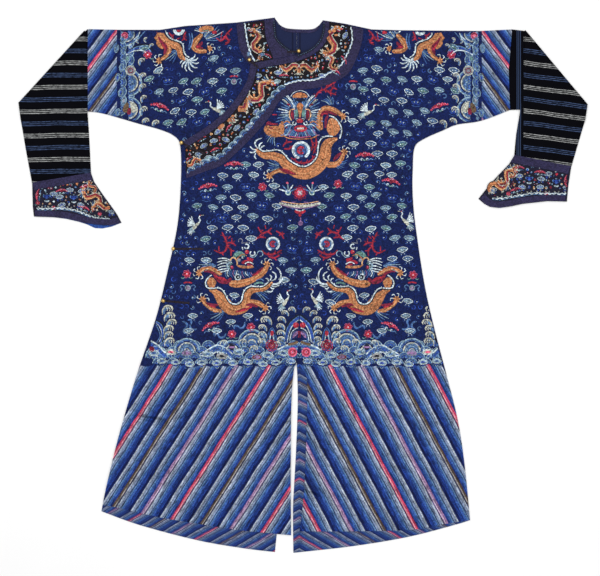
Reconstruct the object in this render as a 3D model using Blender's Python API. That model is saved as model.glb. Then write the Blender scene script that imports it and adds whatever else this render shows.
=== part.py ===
import bpy
import bmesh
import math
from mathutils import Vector

# Main sizes in millimetres
MM = 0.001
WALL = 1.2
GAP = 0.3
TRIM_WALL = 1.0
FOLD_INNER = 0.6
FOLD_OUTER = FOLD_INNER + WALL
FOLD_STEPS = 4
TUBE_WALL = 2.7
TUBE_INNER = 0.15
TUBE_OUTER = TUBE_INNER + TUBE_WALL
CENTRE = -16.0
HALF_SEAM = 0.15
CELL = 48.0
SLEEVE_CELL = 34.0
BALL_RADIUS = 5.4
FLAP_SHORTER = 75.0

# Colours of the cloths and the metal
NAVY = (0.015, 0.032, 0.16, 1.0)
BLACK = (0.008, 0.008, 0.012, 1.0)
BRAID = (0.075, 0.062, 0.19, 1.0)
DARK = (0.01, 0.012, 0.03, 1.0)
BRASS = (0.62, 0.42, 0.14, 1.0)


def rows(columns, *values):
    names = columns.split()
    return [dict(zip(names, value)) for value in values]


def column_pairs(table, first, second):
    return [(row[first], row[second]) for row in table]


# Shoulder fold from the right sleeve's end to the left sleeve's end
SHOULDER = rows(
    "across up",
    (-559, 665), (-476, 663), (-372, 663), (-307, 673), (-173, 682), (-73, 695),
    (51, 688), (109, 679), (179, 664), (252, 662), (460, 660), (543, 664),
)

# Underarm and side seam of each half, from the sleeve's end to the hem
RIGHT_SIDE = rows(
    "across up",
    (-559, 451), (-517, 445), (-426, 419), (-372, 404), (-336, 388), (-319, 362),
    (-317, 273), (-326, 156), (-351, 39), (-382, -86), (-432, -234), (-478, -390),
    (-510, -520), (-524, -588),
)
LEFT_SIDE = rows(
    "across up",
    (538, 455), (463, 427), (400, 417), (364, 402), (315, 380), (290, 358),
    (285, 300), (285, 234), (292, 156), (315, 5), (341, -112), (373, -234),
    (402, -351), (420, -468), (434, -611),
)

# Back neckline and the two front necklines
BACK_NECK = rows(
    "across up",
    (-73, 695), (-67, 685), (-59, 675), (-46, 668), (-24, 665), (16, 664), (31, 667), (42, 675), (51, 688),
)
LEFT_NECK = rows(
    "edge_x edge_y inner_x inner_y",
    (51, 688, 67.5, 685), (51, 666, 68, 664), (46, 644, 62, 637), (34, 626, 46, 614),
    (17, 612, 24, 597), (-5, 602, 0, 586), (-15.85, 598, -15.85, 580.3),
)
RIGHT_NECK = rows(
    "across up",
    (-73, 695), (-70, 660), (-67, 642), (-52, 625), (-36, 613), (-22, 603),
)

# Overlap: the edge on its braid's outer side and the braid's inner side
OVERLAP_EDGE = rows(
    "edge_x edge_y inner_x inner_y",
    (-16.15, 597, -16.15, 580), (-41, 592, -43, 575), (-74, 586, -77, 569), (-110, 579.5, -108, 563),
    (-136, 573, -120, 560), (-140, 554, -123, 550), (-144, 533, -128, 529), (-156, 510, -141, 502),
    (-173, 485, -159, 475), (-198, 454, -186, 442), (-223, 431, -212, 418), (-256, 406, -247, 392),
    (-292, 384, -284, 369), (-311, 374, -306, 356),
)

# Dragon band: its outer side at the wave line, and the outer side of the braid beyond
BAND_EDGE = rows(
    "wave_x wave_y outer_x outer_y",
    (127, 672, 157, 665), (130, 632, 153, 632), (114, 592, 140, 592), (97, 565, 117, 549),
    (64, 545, 77, 525), (31, 530, 37, 512), (-12, 527, -9, 505), (-49, 516, -42, 492),
    (-72, 499, -62, 476), (-95, 466, -82, 443), (-122, 433, -109, 409), (-168, 380, -159, 356),
    (-218, 333, -210, 312), (-248, 323, -248, 297), (-304, 294, -303, 277),
)

# Right shoulder: outer side of the neck edging, the wave line, the braid's outer side
RIGHT_EDGING = rows("across up", (-100, 688), (-98, 655), (-93, 630), (-84, 608), (-76, 586.2))
RIGHT_WAVE = rows("across up", (-154, 680), (-150, 649), (-145, 622), (-138, 599), (-130, 584), (-127, 576.4))
RIGHT_BRAID = rows("across up", (-173, 679), (-171, 658), (-165, 615), (-153, 591), (-145, 579), (-138.5, 574.2))

# Hems and vent edges
OVERLAP_HEM = rows(
    "across up", (-520, -572), (-488, -577), (-385, -601), (-268, -621), (-164, -637), (-31, -650)
)
OVERLAP_VENT = rows("across up", (-31, -650), (-32, -481), (-30, -300), (-23, -213))
LEFT_FRONT_HEM = rows("across up", (434, -611), (367, -621), (276, -636), (122, -640), (-9, -640))
LEFT_FRONT_VENT = rows("across up", (-9, -640), (3, -533), (9, -377), (10, -242), (-15.85, -213))
LEFT_BACK_HEM = rows("across up", (434, -611), (403, -621), (276, -654), (127, -679), (-25, -696))
LEFT_BACK_VENT = rows(
    "across up", (-25, -696), (-26, -585), (-23, -520), (-18, -429), (-14, -325), (-14, -260), (-15.85, -213)
)
RIGHT_BACK_HEM = rows("across up", (-524, -588), (-424, -624), (-276, -663), (-156, -684), (-73, -694))
RIGHT_BACK_VENT = rows("across up", (-73, -694), (-25, -213), (-16.15, -200))

# Broad swells of the front: centre, half width, half height, rise
SWELLS = rows(
    "across up wide tall rise",
    (-200, 430, 150, 90, 1.0), (150, 380, 160, 120, 1.1), (-190, 60, 120, 260, 0.9),
    (160, 20, 110, 280, 1.0), (-330, -345, 130, 55, -0.8), (-300, -300, 140, 40, 1.0),
    (-420, -470, 80, 40, 0.9), (60, -520, 110, 50, -0.8), (90, -450, 120, 50, 0.9),
    (330, -420, 60, 150, 0.7), (-430, 560, 90, 60, 0.8), (420, 560, 100, 60, 0.8),
)

# Buttons: place, and the far end of the loop that holds each
BUTTONS = rows(
    "name across up loop_x loop_y layers",
    ("neck", -11, 606, -40, 604.5, 2), ("collar", -139, 583, -118, 566, 2), ("arm", -315, 369, -256, 340, 2),
    ("waist", -336, 94, -260, 94, 1), ("hip", -362, -41, -296, -47, 1),
)


def ease(value):
    value = min(max(value, 0.0), 1.0)
    return value * value * (3.0 - 2.0 * value)


def height_on(table, across):
    points = sorted(column_pairs(table, "across", "up"))
    if across <= points[0][0]:
        return points[0][1]
    for (x0, y0), (x1, y1) in zip(points, points[1:]):
        if across <= x1:
            return y0 + (y1 - y0) * (across - x0) / (x1 - x0)
    return points[-1][1]


def fold_line(across):
    return height_on(SHOULDER, across) - FOLD_OUTER


def distance_to(table, across, up):
    points = column_pairs(table, "across", "up")
    best = 1e9
    for (x0, y0), (x1, y1) in zip(points, points[1:]):
        length = (x1 - x0) ** 2 + (y1 - y0) ** 2
        along = ((across - x0) * (x1 - x0) + (up - y0) * (y1 - y0)) / length
        along = min(max(along, 0.0), 1.0)
        best = min(best, math.hypot(across - x0 - along * (x1 - x0), up - y0 - along * (y1 - y0)))
    return best


def hem_height(across):
    return height_on(OVERLAP_HEM if across < CENTRE else LEFT_FRONT_HEM, across)


# Rise of the front above the back, zero along the sewn edges
def loft(across, up):
    edge = ease(min(distance_to(RIGHT_SIDE, across, up), distance_to(LEFT_SIDE, across, up)) / 95.0)
    below_fold = ease((fold_line(across) - up) / 60.0)
    hem = 0.3 + 0.7 * ease((up - hem_height(across)) / 100.0)
    rise = 2.0
    for swell in SWELLS:
        from_x = (across - swell["across"]) / swell["wide"]
        from_y = (up - swell["up"]) / swell["tall"]
        rise += swell["rise"] * math.exp(-from_x * from_x - from_y * from_y)
    return (2.0 * FOLD_INNER - GAP) * (1.0 - below_fold) + edge * hem * below_fold * rise


# Heights are worked out on the grid's own triangles, so every layer follows the same facets
def on_grid(height, cell, fold_at):
    known = {}

    def node(column, row):
        if (column, row) not in known:
            x = CENTRE + column * cell
            known[column, row] = height(x, row * cell + fold_at(x))
        return known[column, row]

    def at(x, y):
        a = (x - CENTRE) / cell
        b = (y - fold_at(x)) / cell
        column = math.floor(a)
        row = math.floor(b)
        a -= column
        b -= row
        right = node(column + 1, row)
        above = node(column, row + 1)
        if a + b <= 1.0:
            corner = node(column, row)
            return corner + a * (right - corner) + b * (above - corner)
        corner = node(column + 1, row + 1)
        return corner + (1.0 - a) * (above - corner) + (1.0 - b) * (right - corner)

    return at


def right_front_height(across, up):
    return WALL + GAP + loft(across, up)


def flap_hem(across):
    return height_on(OVERLAP_HEM, across) + FLAP_SHORTER


def overlap_height(across, up):
    covered = ease((up - flap_hem(across) + 62.0) / 36.0)
    return WALL + GAP + loft(across, up) + (WALL + GAP) * covered


def left_front_height(across, up):
    covered = ease((up - flap_hem(CENTRE) + 62.0) / 36.0)
    step = 1.0 - ease((across - CENTRE) / 66.0)
    below_fold = ease((fold_line(across) - up) / 60.0)
    return WALL + GAP + loft(across, up) + (WALL + GAP) * step * covered * below_fold


right_front_under = on_grid(right_front_height, CELL, fold_line)
overlap_under = on_grid(overlap_height, CELL, fold_line)
left_front_under = on_grid(left_front_height, CELL, fold_line)


def front_top(across, up):
    under = overlap_under if across < CENTRE else left_front_under
    return under(across, up) + WALL


def right_front_top(across, up):
    return right_front_under(across, up) + WALL


def on_back(across, up):
    return WALL


def straight(across):
    return 0.0


# One flat cut laid on the grid, drawn at its own depth so that layers stay apart
def cut_cloth(bm, outline, cell, depth, fold_at):
    ring = [bm.verts.new((x * MM, (y - fold_at(x)) * MM, depth)) for x, y in outline]
    bm.faces.new(ring)
    low_x = min(x for x, y in outline)
    high_x = max(x for x, y in outline)
    low_y = min(y - fold_at(x) for x, y in outline)
    high_y = max(y - fold_at(x) for x, y in outline)
    first = math.ceil((low_x - CENTRE) / cell)
    last = math.floor((high_x - CENTRE) / cell)
    for k in range(first, last + 1):
        cut_once(bm, depth, ((CENTRE + k * cell) * MM, 0, 0), (1, 0, 0))
    for k in range(math.ceil(low_y / cell), math.floor(high_y / cell) + 1):
        cut_once(bm, depth, (0, k * cell * MM, 0), (0, 1, 0))
    for k in range(first + math.floor(low_y / cell) - 1, last + math.ceil(high_y / cell) + 2):
        cut_once(bm, depth, ((CENTRE + k * cell) * MM, 0, 0), (1, 1, 0))


def cut_once(bm, depth, place, normal):
    verts = [v for v in bm.verts if abs(v.co.z - depth) < 1e-6]
    edges = [e for e in bm.edges if abs(e.verts[0].co.z - depth) < 1e-6]
    faces = [f for f in bm.faces if abs(f.verts[0].co.z - depth) < 1e-6]
    bmesh.ops.bisect_plane(
        bm, geom=verts + edges + faces, dist=2e-6, plane_co=place, plane_no=normal,
        clear_inner=False, clear_outer=False,
    )


# Gives every grid point its place on the cloth's two faces
def place_points(bm, depth, fold_at, inner, outer):
    inner_layer = bm.verts.layers.float_vector["inner"]
    outer_layer = bm.verts.layers.float_vector["outer"]
    foot_layer = bm.verts.layers.float_vector["foot"]
    for vert in [v for v in bm.verts if abs(v.co.z - depth) < 1e-6]:
        x = vert.co.x / MM
        y = vert.co.y / MM + fold_at(x)
        low = Vector((x, y, inner(x, y))) * MM
        high = Vector((x, y, outer(x, y))) * MM
        vert[inner_layer] = low
        vert[outer_layer] = high
        vert[foot_layer] = Vector((x, y, 0)) * MM
        vert.co = (low + high) * 0.5


# Rolls the front's folded edge round until it meets the back
def roll_edge(bm, is_fold, outward, small, wall):
    inner_layer = bm.verts.layers.float_vector["inner"]
    outer_layer = bm.verts.layers.float_vector["outer"]
    foot_layer = bm.verts.layers.float_vector["foot"]
    middle = (wall + small) * MM
    level = middle + small * MM - 1e-6
    edges = []
    for edge in bm.edges:
        if not edge.is_boundary or min(v[inner_layer].z for v in edge.verts) < level:
            continue
        if all(is_fold(v[foot_layer].x / MM, v[foot_layer].y / MM) for v in edge.verts):
            edges.append(edge)
    side = Vector((outward[0], outward[1], 0)).normalized()
    for step in range(1, FOLD_STEPS + 1):
        result = bmesh.ops.extrude_edge_only(bm, edges=edges)
        fresh = [item for item in result["geom"] if isinstance(item, bmesh.types.BMVert)]
        turn = math.radians(90.0 - 180.0 * step / FOLD_STEPS)
        for vert in fresh:
            foot = vert[foot_layer]
            for layer, radius in ((inner_layer, small), (outer_layer, small + wall)):
                reach = foot + side * radius * MM * math.cos(turn)
                vert[layer] = Vector((reach.x, reach.y, middle + radius * MM * math.sin(turn)))
            vert.co = (vert[inner_layer] + vert[outer_layer]) * 0.5
        edges = [
            item for item in result["geom"]
            if isinstance(item, bmesh.types.BMEdge) and all(v in fresh for v in item.verts)
        ]
    bmesh.ops.remove_doubles(bm, verts=bm.verts[:], dist=2e-5)


def new_cloth():
    bm = bmesh.new()
    for name in ("inner", "outer", "foot"):
        bm.verts.layers.float_vector.new(name)
    return bm


def material_of(name, colour, rough, metal):
    material = bpy.data.materials.new(name)
    material.use_nodes = True
    shader = material.node_tree.nodes["Principled BSDF"]
    shader.inputs["Base Color"].default_value = colour
    shader.inputs["Roughness"].default_value = rough
    shader.inputs["Metallic"].default_value = metal
    material.diffuse_color = colour
    return material


def finish_object(name, bm, colour, rough=0.6, metal=0.0):
    bmesh.ops.recalc_face_normals(bm, faces=bm.faces[:])
    mesh = bpy.data.meshes.new(name)
    bm.to_mesh(mesh)
    bm.free()
    for layer in ("inner", "outer", "foot"):
        if layer in mesh.attributes:
            mesh.attributes.remove(mesh.attributes[layer])
    body = bpy.data.objects.new(name, mesh)
    bpy.context.scene.collection.objects.link(body)
    mesh.materials.append(material_of(name, colour, rough, metal))


# Gives the laid-out cloth its wall by extruding it from the inner to the outer face
def thicken(bm):
    bmesh.ops.triangulate(bm, faces=bm.faces[:], quad_method="FIXED", ngon_method="BEAUTY")
    inner_layer = bm.verts.layers.float_vector["inner"]
    outer_layer = bm.verts.layers.float_vector["outer"]
    old = bm.verts[:]
    bmesh.ops.extrude_face_region(bm, geom=bm.faces[:], use_keep_orig=True)
    kept = set(old)
    for vert in bm.verts:
        vert.co = vert[inner_layer] if vert in kept else vert[outer_layer]


def flat_piece(name, outline, cell, under, wall, colour, fold_at=fold_line):
    bm = new_cloth()
    cut_cloth(bm, outline, cell, 0.0, fold_at)
    place_points(bm, 0.0, fold_at, under, lambda x, y: under(x, y) + wall)
    thicken(bm)
    finish_object(name, bm, colour)


def folded_piece(name, front, back, cell, fold, colour):
    bm = new_cloth()
    wall = fold["wall"]
    cut_cloth(bm, front, cell, 0.0, fold["at"])
    cut_cloth(bm, back, cell, -1.0, fold["at"])
    under = fold["under"]
    place_points(bm, -1.0, fold["at"], lambda x, y: wall, lambda x, y: 0.0)
    place_points(bm, 0.0, fold["at"], under, lambda x, y: under(x, y) + wall)
    roll_edge(bm, fold["is_fold"], fold["outward"], fold["inner"], wall)
    thicken(bm)
    finish_object(name, bm, colour)


def onto_fold(points):
    return [(x, min(y, fold_line(x))) for x, y in points]


def shoulder_points(low, high):
    inside = [row["across"] for row in SHOULDER if low < row["across"] < high]
    return [(x, fold_line(x)) for x in [low] + inside + [high]]


# Right half: inner front, upper sleeve and back in one folded cut
def build_right_half():
    shoulder = shoulder_points(-559.0, -73.0)
    side = column_pairs(RIGHT_SIDE, "across", "up")
    neck = column_pairs(RIGHT_NECK, "across", "up")
    flap_side = [p for p in side if p[1] > -500.0]
    flap = [(-499, flap_hem(-499)), (-385, flap_hem(-385)), (-268, flap_hem(-268)), (-52, flap_hem(-52))]
    front = shoulder[:-1] + onto_fold(neck) + flap[::-1] + flap_side[::-1]
    back_neck = [(x, y) for x, y in column_pairs(BACK_NECK, "across", "up") if x < CENTRE]
    back = shoulder[:-1] + onto_fold(back_neck) + [(CENTRE - HALF_SEAM, 664.8)]
    back += column_pairs(RIGHT_BACK_VENT, "across", "up")[::-1]
    back += column_pairs(RIGHT_BACK_HEM, "across", "up")[::-1][1:] + side[::-1][1:]
    fold = {
        "at": fold_line, "under": right_front_under, "wall": WALL, "inner": FOLD_INNER, "outward": (0, 1),
        "is_fold": lambda x, y: abs(y - fold_line(x)) < 0.02 and -559.1 < x < -72.9,
    }
    folded_piece("right_half", front, back, CELL, fold, NAVY)


# Left half: left front, upper sleeve and back in one folded cut
def build_left_half():
    shoulder = shoulder_points(51.0, 543.0)
    side = column_pairs(LEFT_SIDE, "across", "up")
    neck = column_pairs(LEFT_NECK, "edge_x", "edge_y")
    seam = [(534, 556)]
    front = onto_fold(neck[::-1]) + shoulder[1:] + seam + side
    front += column_pairs(LEFT_FRONT_HEM, "across", "up")[1:]
    front += column_pairs(LEFT_FRONT_VENT, "across", "up")[1:]
    back_neck = [(x, y) for x, y in column_pairs(BACK_NECK, "across", "up") if x > CENTRE]
    back = [(CENTRE + HALF_SEAM, 664.8)] + onto_fold(back_neck) + shoulder[1:] + seam + side
    back += column_pairs(LEFT_BACK_HEM, "across", "up")[1:]
    back += column_pairs(LEFT_BACK_VENT, "across", "up")[1:]
    fold = {
        "at": fold_line, "under": left_front_under, "wall": WALL, "inner": FOLD_INNER, "outward": (0, 1),
        "is_fold": lambda x, y: abs(y - fold_line(x)) < 0.02 and 50.9 < x < 543.1,
    }
    folded_piece("left_half", front, back, CELL, fold, NAVY)


def build_overlap():
    edge = column_pairs(OVERLAP_EDGE, "edge_x", "edge_y")
    side = [p for p in column_pairs(RIGHT_SIDE, "across", "up") if 365.0 > p[1] > -560.0]
    outline = edge + side + column_pairs(OVERLAP_HEM, "across", "up")
    outline += column_pairs(OVERLAP_VENT, "across", "up")[1:] + [(CENTRE - HALF_SEAM, -200)]
    flat_piece("front_overlap", outline, CELL, overlap_under, WALL, NAVY)


# Sleeve extensions, each folded over itself along a slanting line
RIGHT_TUBE = {
    "fold": ((-566, 659), (-738, 471)), "outward": (-0.738, 0.675),
    "lower": [(-559.3, 665), (-559.3, 451), (-650, 458), (-737, 466)],
    "upper": [(-738, 467), (-733, 429), (-720, 351), (-704, 264.6), (-551, 290.5), (-556, 390), (-560, 452), (-562, 585)],
    "ramp": (438, 404),
}
LEFT_TUBE = {
    "fold": ((576, 660), (738, 467)), "outward": (0.766, 0.643),
    "lower": [(543.4, 664), (534.4, 556), (538.4, 455), (640, 458), (737, 462)],
    "upper": [(738, 463), (733, 429), (710, 351), (697, 306.5), (549, 336.5), (554, 390), (564, 452), (568, 500), (572, 573), (576, 609)],
    "ramp": (440, 406),
}


def build_tube(name, tube):
    start, end = tube["fold"]
    across = end[0] - start[0]
    up = end[1] - start[1]
    length = math.hypot(across, up)

    def is_fold(x, y):
        off = abs((x - start[0]) * up - (y - start[1]) * across) / length
        along = ((x - start[0]) * across + (y - start[1]) * up) / length
        return off < 0.02 and -0.1 < along < length + 0.1

    high, low = tube["ramp"]

    def under(x, y):
        return (TUBE_WALL + GAP) * ease((y - low) / (high - low))

    fold = {
        "at": straight, "under": under, "wall": TUBE_WALL, "inner": TUBE_INNER,
        "outward": tube["outward"], "is_fold": is_fold,
    }
    lower = tube["lower"] + [end, start]
    upper = [start, end] + tube["upper"]
    folded_piece(name, upper, lower, SLEEVE_CELL, fold, BLACK)


# Cuffs: front and back layers joined along the outer edge, open at the mouth
RIGHT_CUFF = {
    "edge": [(-702, 263.7), (-700.5, 205), (-697.5, 178)],
    "outward": (-1.0, 0.0),
    "front": [(-647, 176), (-615, 173), (-581, 165), (-562, 160.5), (-541, 157.5), (-521, 156), (-497, 155), (-472, 162)],
    "back": [(-647, 176), (-615, 172), (-581, 164), (-560, 157), (-541, 148), (-521, 147), (-497, 152), (-472, 162)],
    "slant": [(-483, 183), (-500, 207), (-521, 236), (-543, 268), (-550.5, 289.7)],
}
LEFT_CUFF = {
    "edge": [(695, 305.4), (688, 260), (684, 217)],
    "outward": (1.0, 0.0),
    "front": [(635, 218), (608, 215), (571, 211), (543, 205), (511, 200.5), (487, 203), (471, 211), (456, 224)],
    "back": [(635, 218), (608, 215), (571, 211), (543, 205), (511, 200), (487, 203), (471, 211), (456, 224)],
    "slant": [(471, 243), (495, 272), (513, 291), (536, 315), (548.5, 335.6)],
}


def cuff_under(cuff):
    tip = cuff["front"][-1]

    def height(x, y):
        closed = math.hypot(x - tip[0], y - tip[1]) / 70.0
        edge = min(abs(x - p[0]) for p in cuff["edge"]) / 40.0
        return WALL + GAP + 0.9 * (1.0 - ease(edge)) + 0.9 * ease(closed) * ease(edge)

    return on_grid(height, SLEEVE_CELL, straight)


def build_cuff(name, cuff):
    under = cuff_under(cuff)

    def is_fold(x, y):
        for (x0, y0), (x1, y1) in zip(cuff["edge"], cuff["edge"][1:]):
            off = abs((x - x0) * (y1 - y0) - (y - y0) * (x1 - x0)) / math.hypot(x1 - x0, y1 - y0)
            if off < 0.02 and min(y0, y1) - 0.1 < y < max(y0, y1) + 0.1:
                return True
        return False

    def front_under(x, y):
        return WALL + 2.0 * FOLD_INNER if is_fold(x, y) else under(x, y)

    fold = {
        "at": straight, "under": front_under, "wall": WALL, "inner": FOLD_INNER,
        "outward": cuff["outward"], "is_fold": is_fold,
    }
    front = cuff["edge"] + cuff["front"] + cuff["slant"]
    back = cuff["edge"] + cuff["back"] + cuff["slant"]
    folded_piece(name, front, back, SLEEVE_CELL, fold, NAVY)


def strip(name, first, second, top, colour, cell=CELL, fold_at=fold_line):
    outline = list(first) + list(second)[::-1]
    flat_piece(name, outline, cell, lambda x, y: top(x, y) + GAP, TRIM_WALL, colour, fold_at)


def shifted(points, amount):
    moved = []
    for k, (x, y) in enumerate(points):
        x0, y0 = points[max(k - 1, 0)]
        x1, y1 = points[min(k + 1, len(points) - 1)]
        length = math.hypot(x1 - x0, y1 - y0)
        moved.append((x - (y1 - y0) / length * amount, y + (x1 - x0) / length * amount))
    return moved


def build_neck_trims():
    neck_edge = onto_fold(column_pairs(LEFT_NECK, "edge_x", "edge_y"))
    neck_inner = onto_fold(column_pairs(LEFT_NECK, "inner_x", "inner_y"))
    strip("neck_binding_left", neck_edge, neck_inner, front_top, BRAID)
    edge = column_pairs(OVERLAP_EDGE, "edge_x", "edge_y")
    inner = column_pairs(OVERLAP_EDGE, "inner_x", "inner_y")
    strip("edge_braid", edge, inner, front_top, BRAID)
    band_inner = neck_inner[:-1] + [(CENTRE, 580)] + inner[1:]
    wave = onto_fold(column_pairs(BAND_EDGE, "wave_x", "wave_y"))
    outer = onto_fold(column_pairs(BAND_EDGE, "outer_x", "outer_y"))
    strip("neck_band_left", onto_fold(shifted(band_inner, 0.4)), wave, front_top, DARK)
    strip("outer_braid_left", onto_fold(shifted(wave, 0.4)), outer, front_top, BRAID)
    neck = onto_fold(column_pairs(RIGHT_NECK, "across", "up"))[:-1] + [(-22, 602), (-22, 596.8)]
    edging = onto_fold(column_pairs(RIGHT_EDGING, "across", "up"))
    right_wave = onto_fold(column_pairs(RIGHT_WAVE, "across", "up"))
    right_braid = onto_fold(column_pairs(RIGHT_BRAID, "across", "up"))
    strip("neck_binding_right", neck, edging, right_front_top, BRAID)
    strip("neck_band_right", [(x - 0.4, y) for x, y in edging], right_wave, right_front_top, DARK)
    strip("outer_braid_right", [(x - 0.4, y) for x, y in right_wave], right_braid, right_front_top, BRAID)
    back_neck = column_pairs(BACK_NECK, "across", "up")[2:-1]
    back_strip = [(x * 0.97, y - 9.0) for x, y in back_neck]
    strip("neck_binding_back", back_neck, back_strip, on_back, BRAID)


def build_cuff_trims():
    right_top = cuff_under(RIGHT_CUFF)
    left_top = cuff_under(LEFT_CUFF)
    band_right = [(-698, 263.6), (-625, 276), (-553, 288.6)]
    band_left = [(691, 305.2), (620, 320), (551, 334.4)]
    strip("right_cuff_band", band_right, [(-698, 247), (-625, 259.5), (-546, 273)],
          lambda x, y: right_top(x, y) + WALL, BRAID, SLEEVE_CELL, straight)
    strip("left_cuff_band", band_left, [(688, 288.5), (616, 303.5), (539, 319)],
          lambda x, y: left_top(x, y) + WALL, BRAID, SLEEVE_CELL, straight)
    right_mouth = [(-695, 178.4)] + [(x, y + 0.4) for x, y in RIGHT_CUFF["front"][:-1]] + [(-474, 163)]
    right_inner = [(-696, 194), (-647, 192), (-612, 189), (-577, 181), (-558, 176.5), (-541, 173.5), (-522, 172), (-502, 171), (-483, 176)]
    strip("right_cuff_binding", right_mouth, right_inner,
          lambda x, y: right_top(x, y) + WALL, BRAID, SLEEVE_CELL, straight)
    left_mouth = [(681, 217.6)] + [(x, y + 0.4) for x, y in LEFT_CUFF["front"][:-1]] + [(459, 224)]
    left_inner = [(682, 233), (635, 234), (606, 231), (568, 227), (541, 221), (512, 217), (492, 219), (481, 226), (471, 238)]
    strip("left_cuff_binding", left_mouth, left_inner,
          lambda x, y: left_top(x, y) + WALL, BRAID, SLEEVE_CELL, straight)


def build_fastenings():
    for row in BUTTONS:
        x = row["across"]
        y = row["up"]
        dx = row["loop_x"] - x
        dy = row["loop_y"] - y
        length = math.hypot(dx, dy)
        dx, dy = dx / length, dy / length
        lift = GAP + (TRIM_WALL + GAP) * (row["layers"] - 1)
        base = right_front_top if row["name"] == "neck" else front_top
        half = 2.6

        def under(px, py, base=base, lift=lift):
            return base(px, py) + lift

        outline = []
        for turn in range(-90, 91, 30):
            angle = math.radians(turn) + math.atan2(-dy, -dx)
            outline.append((x + half * math.cos(angle), y + half * math.sin(angle)))
        for turn in range(-90, 91, 30):
            angle = math.radians(turn) + math.atan2(dy, dx)
            outline.append((row["loop_x"] + half * math.cos(angle), row["loop_y"] + half * math.sin(angle)))
        flat_piece("loop_" + row["name"], outline, CELL, under, WALL, DARK)
        bm = bmesh.new()
        bmesh.ops.create_uvsphere(bm, u_segments=12, v_segments=8, radius=BALL_RADIUS * MM)
        rise = base(x, y) + lift + WALL + GAP + BALL_RADIUS
        bmesh.ops.translate(bm, verts=bm.verts[:], vec=(x * MM, y * MM, rise * MM))
        finish_object("button_" + row["name"], bm, BRASS, 0.3, 1.0)


for old in list(bpy.data.objects):
    bpy.data.objects.remove(old, do_unlink=True)
build_right_half()
build_left_half()
build_overlap()
build_tube("right_extension", RIGHT_TUBE)
build_tube("left_extension", LEFT_TUBE)
build_cuff("right_cuff", RIGHT_CUFF)
build_cuff("left_cuff", LEFT_CUFF)
build_neck_trims()
build_cuff_trims()
build_fastenings()
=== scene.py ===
import bpy
import bmesh
import math
import random
import numpy as np
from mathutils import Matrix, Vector


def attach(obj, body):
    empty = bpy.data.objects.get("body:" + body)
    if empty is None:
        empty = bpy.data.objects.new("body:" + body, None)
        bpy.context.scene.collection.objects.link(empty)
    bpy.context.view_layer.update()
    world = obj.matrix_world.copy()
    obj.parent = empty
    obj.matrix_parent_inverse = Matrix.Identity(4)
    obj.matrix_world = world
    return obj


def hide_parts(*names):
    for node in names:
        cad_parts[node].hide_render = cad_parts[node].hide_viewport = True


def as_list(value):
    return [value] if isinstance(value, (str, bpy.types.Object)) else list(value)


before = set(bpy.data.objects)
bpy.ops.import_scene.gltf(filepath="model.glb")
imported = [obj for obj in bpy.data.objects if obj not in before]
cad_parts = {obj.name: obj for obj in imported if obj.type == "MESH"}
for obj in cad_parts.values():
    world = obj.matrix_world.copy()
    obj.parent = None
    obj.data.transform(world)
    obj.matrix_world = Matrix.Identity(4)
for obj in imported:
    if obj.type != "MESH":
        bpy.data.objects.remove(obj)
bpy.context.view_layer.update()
mm = 0.001
wall = 1.2
gap = 0.3
foldInner = 0.6
foldOuter = foldInner + wall
middle = -16.0
mirrorLine = -9.5
chance = random.Random(7)

# sizes below are in millimetres in the frame of the CAD
shoulder = [(-559, 665), (-476, 663), (-372, 663), (-307, 673), (-173, 682), (-73, 695), (51, 688),
    (109, 679), (179, 664), (252, 662), (460, 660), (543, 664)]
rightSide = [(-559, 451), (-517, 445), (-426, 419), (-372, 404), (-336, 388), (-319, 362), (-317, 273),
    (-326, 156), (-351, 39), (-382, -86), (-432, -234), (-478, -390), (-510, -520), (-524, -588)]
leftSide = [(538, 455), (463, 427), (400, 417), (364, 402), (315, 380), (290, 358), (285, 300), (285, 234),
    (292, 156), (315, 5), (341, -112), (373, -234), (402, -351), (420, -468), (434, -611)]
backNeck = [(-73, 695), (-67, 685), (-59, 675), (-46, 668), (-24, 665), (16, 664), (31, 667), (42, 675),
    (51, 688)]
leftNeck = [(51, 688), (51, 666), (46, 644), (34, 626), (17, 612), (-5, 602), (-15.85, 598)]
leftNeckInner = [(67.5, 685), (68, 664), (62, 637), (46, 614), (24, 597), (0, 586), (-15.85, 580.3)]
rightNeck = [(-73, 695), (-70, 660), (-67, 642), (-52, 625), (-36, 613), (-22, 603)]
overlapEdge = [(-16.15, 597), (-41, 592), (-74, 586), (-110, 579.5), (-136, 573)]
overlapSlope = [(-136, 573), (-140, 554), (-144, 533), (-156, 510), (-173, 485), (-198, 454), (-223, 431),
    (-256, 406), (-292, 384), (-311, 374)]
braidInner = [(-16.15, 580), (-43, 575), (-77, 569), (-108, 563), (-120, 560)]
braidInnerSlope = [(-120, 560), (-123, 550), (-128, 529), (-141, 502), (-159, 475), (-186, 442), (-212, 418),
    (-247, 392), (-284, 369), (-306, 356)]
waveLine = [(127, 672), (130, 632), (114, 592), (97, 565), (64, 545), (31, 530), (-12, 527), (-49, 516),
    (-72, 499), (-95, 466), (-122, 433), (-168, 380), (-218, 333), (-248, 323), (-304, 294)]
outerLine = [(157, 665), (153, 632), (140, 592), (117, 549), (77, 525), (37, 512), (-9, 505), (-42, 492),
    (-62, 476), (-82, 443), (-109, 409), (-159, 356), (-210, 312), (-248, 297), (-303, 277)]
rightEdging = [(-100, 688), (-98, 655), (-93, 630), (-84, 608), (-76, 586.2)]
rightWave = [(-154, 680), (-150, 649), (-145, 622), (-138, 599), (-130, 584), (-127, 576.4)]
rightBraid = [(-173, 679), (-171, 658), (-165, 615), (-153, 591), (-145, 579), (-138.5, 574.2)]
overlapHem = [(-520, -572), (-488, -577), (-385, -601), (-268, -621), (-164, -637), (-31, -650)]
overlapVent = [(-31, -650), (-32, -481), (-30, -300), (-23, -213)]
leftFrontHem = [(434, -611), (367, -621), (276, -636), (122, -640), (-9, -640)]
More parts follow.
